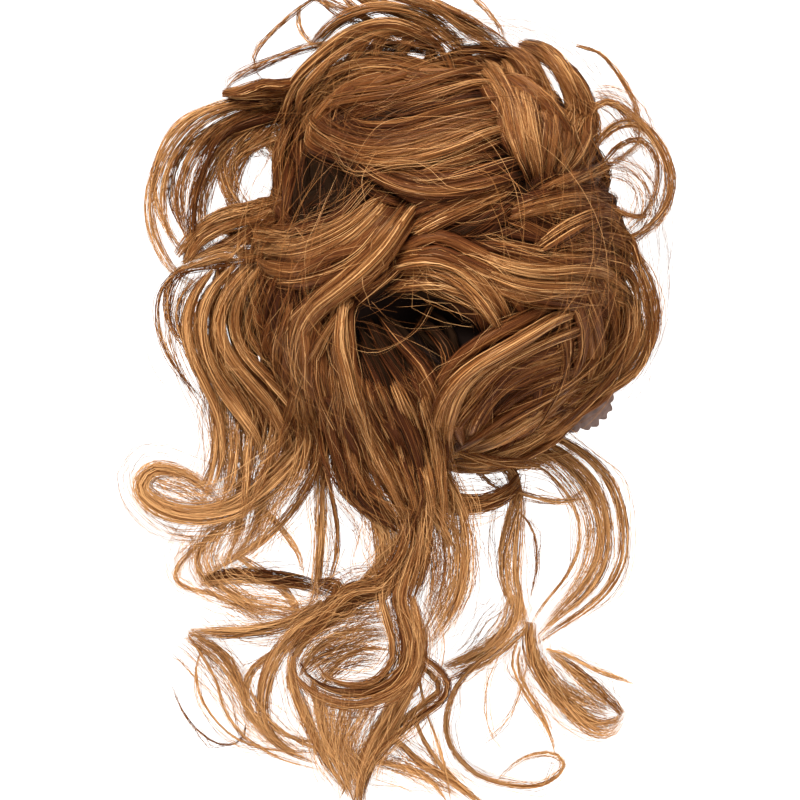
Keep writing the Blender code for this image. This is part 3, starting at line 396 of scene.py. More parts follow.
# The folded lock and the hook at the lower right, and the falls and curtain at the left
LOWER_LOCKS = (
    Lock(6.6, 5.0, 0.60, ((580, 312, 5), (556, 318, 6), (530, 333, 7), (502, 350, 8), (476, 366, 9),
         (457, 384, 10), (446, 406, 11), (442, 430, 12), (450, 456, 13))),
    Lock(5.0, 4.0, 0.46, ((590, 328, 5), (560, 336, 6), (528, 350, 6), (500, 366, 7), (480, 384, 8),
         (466, 404, 9), (460, 428, 10))),
    Lock(6.0, 4.6, 0.76, ((444, 458, 13), (472, 448, 12), (502, 434, 10), (532, 418, 9), (560, 401, 9),
         (586, 386, 10), (604, 378, 11))),
    Lock(5.0, 4.0, 0.48, ((452, 450, 10), (480, 432, 8), (510, 414, 7), (540, 398, 7), (570, 386, 8),
         (592, 366, 9))),
    Lock(5.0, 4.0, 0.52, ((464, 444, 9), (476, 418, 8), (496, 392, 7), (524, 373, 7), (556, 362, 8),
         (586, 352, 9))),
    Lock(4.6, 4.0, 0.38, ((484, 436, 6), (500, 410, 5), (522, 390, 5), (550, 376, 6), (580, 368, 8))),
    Lock(5.0, 4.0, 0.72, ((470, 466, 9), (500, 450, 8), (532, 434, 7), (562, 414, 7), (582, 396, 7))),
    Lock(7.0, 4.0, 0.50, ((566, 258, 5), (582, 288, 7), (592, 320, 9), (594, 350, 10), (588, 378, 10),
         (572, 410, 9))),
    Lock(4.4, 3.4, 0.44, ((588, 262, 7), (606, 294, 10), (614, 326, 12), (608, 356, 12), (590, 386, 10))),
    Lock(6.0, 4.5, 0.42, ((548, 300, 4), (560, 328, 5), (564, 356, 6), (556, 386, 7), (538, 416, 7),
         (520, 440, 6))),
    Lock(5.0, 4.2, 0.44, ((352, 296, 3), (338, 318, 5), (334, 344, 6), (340, 372, 8), (350, 402, 10),
         (360, 432, 15), (370, 462, 27), (384, 492, 29))),
    Lock(4.2, 3.6, 0.62, ((350, 290, 4), (343, 314, 7), (341, 340, 8), (347, 368, 9), (354, 398, 11),
         (366, 430, 15), (378, 460, 28), (394, 492, 29), (408, 520, 29))),
    Lock(5.0, 4.2, 0.40, ((330, 296, 3), (322, 324, 4), (318, 354, 5), (322, 386, 7), (330, 420, 10),
         (338, 456, 25), (350, 488, 27))),
    Lock(5.0, 4.2, 0.50, ((316, 296, 4), (303, 322, 5), (298, 350, 6), (302, 382, 7), (312, 416, 7),
         (320, 450, 6), (318, 480, 2))),
    Lock(5.4, 4.2, 0.46, ((296, 300, 4), (284, 330, 6), (280, 362, 6), (286, 396, 5), (290, 428, 3),
         (280, 460, 1))),
    Lock(4.6, 4.0, 0.38, ((362, 352, 2), (366, 376, 4), (374, 402, 6), (388, 428, 12), (402, 452, 28),
         (412, 482, 29), (420, 512, 29))),
    Lock(5.0, 4.0, 0.46, ((350, 348, 3), (356, 378, 5), (364, 408, 8), (380, 440, 24), (396, 470, 28),
         (408, 502, 29))),
    Lock(4.8, 4.0, 0.40, ((368, 320, 1), (384, 348, 2), (400, 372, 4), (414, 398, 6), (424, 426, 11),
         (430, 456, 27), (432, 490, 28))),
    Lock(4.4, 3.6, 0.50, ((382, 318, 1), (400, 340, 3), (420, 362, 5), (434, 386, 7), (440, 412, 9),
         (440, 440, 24), (442, 474, 27))),
    Lock(4.0, 3.4, 0.32, ((416, 318, 1), (436, 334, 3), (448, 356, 4), (446, 384, 5), (434, 412, 7),
         (424, 440, 23), (420, 470, 27))),
    Lock(6.0, 4.0, 0.34, ((288, 262, 4), (276, 294, 4), (268, 326, 3), (268, 358, 2), (276, 390, 1),
         (282, 424, 0), (280, 460, -1))),
    Lock(5.6, 4.0, 0.30, ((306, 270, 3), (296, 300, 3), (288, 334, 2), (286, 368, 2), (292, 402, 1),
         (298, 436, 0), (296, 470, 0))),
    Lock(5.0, 4.0, 0.46, ((262, 280, 4), (250, 316, 3), (246, 350, 2), (252, 384, 1), (262, 416, 0),
         (262, 450, -1))),
    Lock(4.4, 3.4, 0.54, ((222, 300, 8), (214, 330, 8), (220, 360, 6), (236, 390, 3), (250, 420, 1),
         (256, 452, 0))),
    Lock(5.4, 3.8, 0.64, ((250, 266, 9), (228, 294, 11), (219, 324, 11), (228, 354, 9), (248, 382, 7),
         (270, 410, 5), (284, 438, 4), (290, 468, 3))),
    Lock(5.0, 3.6, 0.70, ((236, 264, 10), (212, 290, 12), (202, 318, 12), (206, 348, 10), (220, 378, 7),
         (240, 406, 4), (258, 434, 2), (264, 464, 1))),
    Lock(4.6, 3.6, 0.66, ((266, 262, 8), (245, 292, 10), (238, 322, 10), (248, 350, 9), (270, 376, 8),
         (290, 402, 7), (302, 430, 6), (308, 462, 5))),
    Lock(4.2, 3.4, 0.70, ((214, 268, 12), (196, 296, 13), (189, 326, 13), (194, 356, 11), (205, 386, 7),
         (216, 416, 2), (221, 448, 0), (218, 482, 1))),
    Lock(3.4, 3.0, 0.52, ((204, 274, 12), (184, 296, 13), (178, 318, 13), (184, 342, 11), (198, 370, 8),
         (212, 400, 3), (222, 432, 0), (226, 462, 0)), "loose"),
    Lock(5.0, 3.8, 0.54, ((318, 296, 6), (306, 328, 8), (300, 362, 8), (304, 396, 8), (314, 430, 7),
         (324, 464, 6), (328, 500, 4))),
    Lock(4.2, 3.4, 0.48, ((300, 286, 5), (290, 318, 7), (283, 350, 7), (285, 382, 6), (294, 412, 6),
         (304, 444, 5), (310, 478, 4))),
    Lock(3.6, 3.0, 0.52, ((352, 300, 6), (332, 326, 9), (314, 356, 9), (300, 388, 9), (290, 420, 8),
         (280, 450, 5), (268, 480, 2)), "loose"),
    Lock(5.4, 4.0, 0.46, ((328, 330, 5), (322, 366, 7), (328, 402, 8), (342, 436, 22), (352, 468, 26),
         (356, 496, 27))),
    Lock(5.6, 4.2, 0.40, ((362, 336, 2), (378, 370, 4), (392, 404, 7), (408, 436, 24), (418, 468, 28),
         (418, 500, 29), (408, 530, 29))),
    Lock(5.0, 4.0, 0.44, ((400, 346, 2), (414, 376, 5), (430, 412, 9), (434, 446, 26), (436, 478, 28),
         (432, 510, 28))),
    Lock(4.6, 3.6, 0.66, ((456, 462, 12), (482, 462, 10), (512, 452, 7), (542, 436, 6), (568, 416, 5))),
    Lock(5.0, 4.0, 0.50, ((600, 262, 8), (618, 292, 11), (626, 324, 12), (614, 354, 12), (588, 380, 9),
         (560, 398, 7))),
    Lock(4.4, 3.6, 0.64, ((612, 372, 9), (594, 388, 9), (572, 402, 8), (548, 420, 6), (522, 434, 4))),
    Lock(3.8, 3.2, 0.52, ((628, 350, 11), (612, 378, 11), (592, 394, 10), (570, 412, 8), (546, 432, 6),
         (518, 448, 4))),
)

# Airy loops round the outline, loose locks, veils and single hairs across the pockets
LOOSE_LOCKS = (
    Lock(3.8, 2.8, 0.60, ((290, 98, 9), (262, 102, 13), (230, 104, 14), (196, 118, 14), (172, 142, 14),
         (156, 172, 13), (149, 206, 12), (155, 240, 12), (172, 270, 12), (196, 286, 10),
         (220, 292, 9)), "loose"),
    Lock(3.2, 2.6, 0.56, ((286, 106, 7), (256, 112, 11), (222, 124, 12), (190, 140, 11), (172, 166, 10),
         (170, 196, 10), (180, 222, 10), (198, 242, 10)), "loose"),
    Lock(3.0, 2.8, 0.26, ((284, 112, 6), (250, 116, 11), (218, 138, 13), (202, 172, 13), (192, 206, 13),
         (193, 240, 13), (208, 260, 12), (234, 264, 10)), "loose"),
    Lock(3.6, 3.0, 0.56, ((292, 116, 4), (258, 120, 7), (234, 134, 8), (222, 160, 8), (226, 188, 8),
         (240, 208, 7), (262, 220, 5)), "loose"),
    Lock(2.0, 1.8, 0.66, ((276, 104, 9), (244, 106, 12), (208, 110, 13), (180, 124, 13), (164, 146, 13),
         (154, 180, 12), (160, 214, 12), (178, 244, 11), (200, 262, 10)), "loose"),
    Lock(6.5, 3.6, 0.58, ((186, 262, 12), (200, 240, 11), (226, 224, 9), (256, 212, 7), (288, 198, 4))),
    Lock(4.4, 3.0, 0.52, ((176, 256, 12), (194, 232, 12), (222, 214, 11), (254, 207, 9),
         (284, 196, 6)), "loose"),
    Lock(4.4, 3.4, 0.44, ((214, 254, 9), (236, 236, 8), (262, 226, 6), (290, 216, 3))),
    Lock(3.0, 2.4, 0.40, ((268, 256, 8), (236, 262, 10), (204, 266, 12), (180, 272, 13), (168, 292, 13),
         (168, 316, 13), (178, 338, 12), (198, 356, 9)), "loose"),
    Lock(1.6, 1.6, 0.50, ((220, 262, 9), (184, 268, 12), (162, 290, 13), (158, 322, 12), (166, 352, 11),
         (182, 378, 8), (206, 404, 2)), "loose"),
    Lock(3.6, 2.8, 0.52, ((592, 150, 11), (612, 128, 13), (636, 122, 13), (658, 140, 13), (670, 168, 13),
         (669, 196, 13), (656, 222, 12), (628, 242, 10)), "loose"),
    Lock(2.2, 2.0, 0.48, ((600, 166, 10), (622, 144, 12), (644, 142, 12), (658, 164, 12), (656, 194, 12),
         (642, 218, 11), (616, 236, 10)), "loose"),
    Lock(2.0, 1.8, 0.50, ((590, 118, 13), (600, 104, 14), (616, 104, 14), (630, 118, 13),
         (640, 138, 12)), "loose"),
    Lock(3.8, 3.0, 0.50, ((606, 238, 10), (630, 252, 12), (646, 276, 13), (654, 306, 13), (652, 336, 13),
         (638, 362, 12), (608, 384, 10)), "loose"),
    Lock(2.2, 2.0, 0.46, ((612, 256, 9), (632, 280, 11), (640, 308, 12), (636, 336, 12), (620, 360, 11),
         (596, 376, 9)), "loose"),
    Lock(1.4, 1.4, 0.60, ((322, -6, 12), (300, 8, 14), (276, 28, 16), (258, 48, 16), (254, 66, 15),
         (266, 84, 13)), "loose"),
    Lock(1.2, 1.2, 0.58, ((300, 4, 12), (298, 22, 13), (308, 40, 13), (328, 52, 12)), "loose"),
    Lock(1.4, 1.4, 0.60, ((468, -8, 11), (484, 8, 13), (498, 24, 12), (506, 44, 9)), "loose"),
    Lock(1.0, 1.0, 0.46, ((576, 46, 10), (600, 54, 13), (622, 82, 13), (636, 112, 12), (636, 144, 12),
         (616, 166, 10)), "loose"),
    Lock(8.0, 3.6, 0.56, ((270, 118, 7), (232, 132, 10), (206, 160, 11), (190, 196, 11), (190, 232, 11),
         (210, 262, 10)), "veil"),
    Lock(8.0, 3.6, 0.50, ((286, 112, 7), (254, 126, 8), (232, 152, 8), (230, 184, 8), (244, 212, 7),
         (268, 226, 6)), "veil"),
    Lock(9.0, 3.6, 0.54, ((200, 262, 11), (186, 296, 12), (180, 334, 12), (190, 372, 9), (208, 410, 3),
         (218, 450, 0)), "veil"),
    Lock(9.0, 3.6, 0.50, ((600, 160, 11), (630, 168, 13), (648, 196, 13), (640, 226, 12),
         (612, 246, 10)), "veil"),
    Lock(9.0, 3.6, 0.50, ((612, 236, 10), (640, 270, 12), (648, 312, 13), (636, 352, 12),
         (604, 386, 10)), "veil"),
    Lock(9.0, 4.0, 0.52, ((590, 96, 12), (618, 104, 13), (640, 128, 13), (652, 160, 13)), "veil"),
    Lock(3.6, 3.1, 0.74, ((436, 298, 9), (420, 325, 12), (400, 343, 13), (375, 353, 13), (350, 345, 11),
         (336, 332, 9)), "wisp"),
    Lock(2.8, 2.4, 0.72, ((398, 299, 9), (440, 308, 12), (482, 330, 10)), "wisp"),
    Lock(3.6, 3.1, 0.70, ((343, 322, 9), (380, 330, 12), (420, 350, 12), (452, 372, 10)), "wisp"),
    Lock(2.8, 2.4, 0.70, ((366, 300, 9), (392, 322, 11), (430, 330, 11), (470, 318, 10)), "wisp"),
    Lock(3.2, 2.8, 0.64, ((170, 284, 13), (160, 320, 14), (165, 350, 13), (182, 376, 9),
         (207, 400, 3)), "wisp"),
    Lock(4.0, 3.5, 0.72, ((152, 290, 13), (140, 320, 14), (140, 350, 14), (154, 380, 12), (180, 398, 7),
         (216, 424, 1)), "wisp"),
    Lock(2.4, 2.1, 0.74, ((160, 420, 6), (150, 396, 9), (136, 372, 12), (138, 340, 13),
         (150, 312, 13)), "wisp"),
    Lock(2.0, 1.8, 0.76, ((225, 34, 13), (240, 20, 14), (262, 15, 14), (285, 20, 13),
         (304, 34, 12)), "wisp"),
    Lock(2.4, 2.1, 0.50, ((558, 36, 12), (580, 44, 13), (602, 58, 13), (618, 80, 12)), "wisp"),
    Lock(3.6, 3.1, 0.64, ((330, 160, 5), (322, 184, 7), (330, 210, 8), (352, 222, 7),
         (376, 214, 5)), "wisp"),
    Lock(3.6, 3.1, 0.60, ((306, 140, 6), (322, 156, 8), (342, 180, 8), (346, 206, 7),
         (338, 228, 6)), "wisp"),
    Lock(4.6, 3.4, 0.50, ((286, 112, 6), (262, 120, 9), (240, 134, 10), (220, 156, 10), (206, 184, 10),
         (200, 212, 10), (206, 238, 10), (224, 256, 9)), "loose"),
    Lock(4.2, 3.2, 0.46, ((290, 120, 5), (268, 130, 8), (250, 146, 8), (236, 168, 8), (230, 192, 8),
         (236, 214, 8), (254, 232, 7)), "loose"),
    Lock(4.0, 3.0, 0.56, ((276, 106, 9), (244, 114, 11), (214, 130, 12), (192, 154, 12), (180, 184, 12),
         (180, 214, 11), (192, 242, 11), (212, 262, 10)), "loose"),
    Lock(3.0, 2.4, 0.52, ((266, 104, 10), (232, 110, 12), (202, 124, 13), (178, 148, 13), (164, 178, 13),
         (162, 208, 12), (170, 238, 12), (188, 264, 11)), "loose"),
    Lock(2.4, 2.0, 0.50, ((586, 108, 12), (608, 102, 13), (630, 114, 13), (650, 134, 13), (664, 158, 13),
         (670, 186, 13), (662, 214, 13), (642, 234, 11), (616, 248, 9)), "loose"),
    Lock(3.4, 2.8, 0.48, ((560, 232, 7), (592, 238, 10), (622, 242, 12), (648, 230, 13),
         (664, 208, 13)), "loose"),
    Lock(1.2, 1.2, 0.52, ((320, 2, 14), (336, 15, 14), (356, 23, 14), (380, 26, 13)), "loose"),
    Lock(1.0, 1.0, 0.60, ((576, 44, 12), (602, 54, 13), (624, 82, 13), (639, 112, 13),
         (641, 132, 13)), "loose"),
    Lock(3.4, 2.8, 0.48, ((636, 268, 12), (647, 296, 13), (651, 328, 13), (645, 358, 13), (626, 382, 11),
         (596, 397, 9), (570, 410, 7)), "loose"),
    Lock(2.6, 2.2, 0.56, ((640, 290, 12), (649, 318, 13), (648, 348, 13), (634, 374, 12), (608, 390, 10),
         (578, 402, 7)), "loose"),
    Lock(2.6, 2.2, 0.50, ((586, 262, 8), (598, 296, 10), (604, 330, 11), (600, 362, 11), (588, 386, 9),
         (572, 404, 7)), "loose"),
    Lock(5.0, 3.0, 0.50, ((352, -8, 6), (392, 9, 13), (430, 27, 13), (460, 50, 8),
         (476, 66, 4)), "loose"),
    Lock(5.0, 3.0, 0.56, ((392, -8, 6), (426, 4, 13), (458, 20, 13), (488, 42, 9),
         (504, 62, 4)), "loose"),
    Lock(1.0, 1.0, 0.50, ((426, 46, 9), (440, 40, 10), (458, 38, 10), (476, 42, 8)), "loose"),
    Lock(4.0, 3.0, 0.46, ((330, 350, 2), (334, 380, 9), (340, 410, 11), (348, 440, 25), (358, 472, 28),
         (374, 504, 29)), "loose"),
    Lock(4.6, 3.0, 0.52, ((344, 354, 2), (352, 384, 9), (362, 414, 12), (374, 446, 28), (388, 478, 30),
         (402, 512, 30)), "loose"),
    Lock(4.6, 3.0, 0.44, ((364, 362, 2), (376, 392, 9), (388, 420, 12), (400, 452, 29), (412, 486, 30),
         (420, 520, 30)), "loose"),
    Lock(4.2, 3.0, 0.54, ((388, 366, 2), (400, 396, 9), (412, 426, 13), (422, 458, 29), (430, 492, 30),
         (432, 528, 30)), "loose"),
    Lock(4.0, 3.0, 0.48, ((414, 374, 2), (424, 402, 10), (434, 432, 18), (440, 462, 28), (444, 496, 28),
         (446, 530, 28)), "loose"),
    Lock(4.6, 3.0, 0.52, ((299, 366, 2), (301, 392, 8), (306, 424, 8), (304, 456, 7), (294, 484, 7),
         (272, 512, 7)), "loose"),
    Lock(3.0, 2.6, 0.60, ((278, 400, 1), (276, 430, 1), (268, 462, 3), (256, 492, 6),
         (242, 520, 7)), "loose"),
    Lock(2.8, 2.4, 0.56, ((256, 398, 0), (254, 428, 0), (250, 460, 3), (246, 492, 6),
         (240, 524, 7)), "loose"),
    Lock(2.4, 2.2, 0.60, ((238, 400, 0), (236, 424, 0), (234, 456, 3), (228, 488, 6),
         (216, 512, 7)), "loose"),
    Lock(4.2, 3.0, 0.46, ((311, 372, 2), (312, 400, 8), (318, 430, 9), (316, 462, 8), (304, 492, 7),
         (284, 520, 7)), "loose"),
    Lock(3.6, 3.0, 0.50, ((440, 440, 13), (462, 452, 13), (492, 460, 12), (524, 462, 10),
         (556, 468, 9)), "loose"),
    Lock(4.6, 3.2, 0.50, ((304, 128, 3), (280, 132, 6), (258, 142, 8), (240, 154, 8), (228, 170, 8),
         (222, 190, 8)), "loose"),
    Lock(4.0, 3.0, 0.46, ((236, 128, 9), (256, 134, 8), (272, 146, 7), (284, 164, 5),
         (290, 186, 3)), "loose"),
    Lock(9.0, 3.4, 0.50, ((230, 122, 9), (252, 134, 8), (272, 152, 7), (284, 178, 5)), "veil"),
    Lock(4.6, 3.0, 0.44, ((490, 376, 2), (474, 398, 10), (458, 420, 14), (449, 444, 22),
         (447, 472, 26)), "loose"),
)

# Curls from the bun's left side, with the long loop and the folded lock
LEFT_TENDRILS = (
    Lock(6.5, 4.0, 0.68, ((316, 424, 16), (300, 452, 16), (272, 484, 16), (240, 506, 16), (204, 516, 17),
         (170, 512, 19), (146, 498, 20), (141, 482, 20), (156, 468, 18), (182, 472, 15), (204, 486, 12),
         (224, 504, 11)), "curl"),
    Lock(2.6, 2.2, 0.74, ((292, 448, 14), (262, 482, 14), (228, 508, 14), (190, 516, 15), (158, 506, 17),
         (142, 488, 18), (148, 472, 17), (170, 468, 14), (196, 480, 12)), "curl"),
    Lock(3.4, 3.0, 0.66, ((224, 380, 2), (220, 400, 12), (220, 426, 13), (219, 456, 13), (212, 484, 13),
         (200, 504, 13)), "curl"),
    Lock(2.4, 2.2, 0.60, ((216, 384, 2), (211, 406, 11), (214, 432, 11), (214, 458, 11), (206, 480, 11),
         (192, 492, 12)), "curl"),
    Lock(4.0, 3.0, 0.74, ((264, 396, 2), (258, 420, 11), (253, 444, 11), (246, 474, 10), (241, 506, 10),
         (236, 538, 10), (222, 572, 12)), "curl"),
    Lock(3.0, 2.6, 0.70, ((288, 406, 2), (280, 430, 12), (271, 456, 12), (262, 484, 11), (258, 514, 11),
         (246, 542, 12), (226, 562, 13)), "curl"),
    Lock(2.8, 2.6, 0.52, ((338, 432, 15), (322, 462, 14), (304, 494, 12), (286, 520, 11), (262, 542, 11),
         (232, 560, 12), (202, 578, 13)), "curl"),
    Lock(3.0, 2.8, 0.56, ((322, 436, 16), (320, 472, 15), (320, 508, 15), (319, 544, 14), (316, 574, 13),
         (312, 600, 13), (300, 618, 13)), "curl"),
    Lock(1.4, 1.4, 0.34, ((328, 470, 15), (332, 496, 15), (338, 526, 14), (337, 556, 13), (330, 580, 13),
         (326, 602, 13)), "curl"),
    Lock(1.6, 1.5, 0.64, ((236, 514, 11), (208, 536, 9), (196, 560, 8), (203, 578, 9), (232, 594, 10),
         (262, 620, 12)), "curl"),
    Lock(1.4, 1.4, 0.60, ((222, 530, 9), (190, 552, 8), (174, 574, 8), (184, 588, 9), (218, 596, 10),
         (246, 610, 11), (268, 630, 12)), "curl"),
    Lock(2.6, 2.0, 0.78, ((236, 556, 12), (262, 572, 11), (288, 594, 11), (296, 616, 12),
         (282, 634, 12)), "curl"),
    Lock(4.2, 3.0, 0.12, ((204, 580, 11), (230, 574, 12), (262, 574, 13), (296, 579, 13),
         (326, 588, 12)), "curl"),
    Lock(2.4, 2.2, 0.58, ((200, 584, 11), (236, 580, 12), (272, 582, 13), (306, 588, 13),
         (336, 600, 12)), "curl"),
    Lock(4.0, 3.4, 0.36, ((336, 584, 12), (334, 600, 12), (316, 612, 13), (288, 624, 14), (254, 632, 15),
         (218, 634, 16), (187, 632, 17)), "curl"),
    Lock(2.8, 2.4, 0.66, ((322, 600, 14), (296, 618, 15), (258, 628, 16), (220, 630, 17),
         (189, 630, 17)), "curl"),
    Lock(1.8, 1.6, 0.62, ((188, 633, 17), (204, 641, 15), (224, 655, 12), (238, 676, 10), (245, 700, 9),
         (246, 722, 8)), "curl"),
    Lock(1.8, 1.6, 0.64, ((206, 642, 13), (228, 664, 11), (240, 690, 10), (250, 714, 9), (270, 736, 9),
         (292, 754, 11), (318, 764, 13)), "curl"),
    Lock(0.7, 0.7, 0.24, ((246, 722, 8), (244, 736, 8), (230, 745, 9), (212, 741, 10), (194, 726, 12),
         (180, 706, 13), (171, 684, 14)), "curl"),
    Lock(4.2, 3.2, 0.54, ((342, 600, 14), (316, 620, 15), (292, 640, 15), (276, 660, 14), (266, 684, 12),
         (262, 710, 10), (268, 732, 10), (286, 750, 12), (312, 760, 14)), "curl"),
    Lock(2.6, 2.2, 0.62, ((288, 642, 12), (268, 656, 11), (250, 672, 10), (244, 694, 9), (252, 718, 9),
         (270, 738, 10)), "curl"),
    Lock(1.0, 1.0, 0.40, ((266, 716, 10), (280, 732, 10), (302, 740, 11), (326, 742, 13), (346, 736, 15),
         (362, 722, 18)), "curl"),
    Lock(7.0, 3.6, 0.66, ((228, 388, 2), (226, 410, 10), (226, 434, 12), (230, 464, 12), (228, 494, 11),
         (220, 520, 10)), "thin"),
    Lock(8.0, 3.6, 0.62, ((248, 396, 2), (243, 420, 10), (240, 446, 11), (242, 478, 10), (240, 512, 10),
         (236, 546, 10)), "thin"),
    Lock(6.4, 3.6, 0.64, ((300, 448, 14), (280, 482, 13), (268, 514, 12), (254, 544, 12),
         (228, 566, 12)), "thin"),
    Lock(1.8, 1.6, 0.62, ((246, 496, 11), (266, 512, 11), (286, 534, 11), (300, 558, 12),
         (303, 574, 12)), "curl"),
    Lock(2.0, 1.8, 0.46, ((322, 470, 15), (323, 506, 15), (321, 544, 14), (319, 578, 13),
         (318, 606, 14)), "curl"),
    Lock(7.0, 3.0, 0.68, ((240, 510, 11), (214, 534, 9), (204, 560, 9), (216, 584, 10), (250, 606, 12),
         (276, 624, 12)), "thin"),
    Lock(7.0, 3.0, 0.70, ((226, 596, 11), (250, 602, 12), (278, 606, 13), (300, 612, 13),
         (322, 606, 13)), "thin"),
    Lock(6.4, 3.0, 0.66, ((186, 634, 16), (206, 648, 13), (230, 672, 11), (248, 704, 9), (270, 734, 10),
         (304, 756, 12)), "thin"),
    Lock(1.0, 1.0, 0.62, ((188, 634, 16), (200, 652, 13), (216, 680, 11), (226, 712, 10), (246, 738, 10),
         (280, 758, 12), (322, 770, 13)), "curl"),
    Lock(0.8, 0.8, 0.66, ((204, 644, 13), (196, 672, 12), (206, 706, 11), (236, 738, 10), (276, 750, 12),
         (324, 752, 14)), "curl"),
    Lock(0.9, 0.9, 0.60, ((250, 690, 11), (272, 722, 11), (304, 744, 12), (340, 752, 14),
         (372, 748, 16)), "curl"),
    Lock(1.2, 1.2, 0.58, ((164, 520, 14), (178, 534, 11), (196, 540, 10), (180, 552, 9),
         (170, 566, 9)), "thin"),
    Lock(5.0, 2.6, 0.64, ((150, 478, 18), (168, 484, 17), (190, 492, 15), (206, 504, 13),
         (216, 516, 12)), "thin"),
    Lock(4.6, 4.0, 0.14, ((318, 583, 14), (332, 585, 15), (341, 593, 15), (338, 606, 15),
         (322, 616, 15)), "curl"),
)

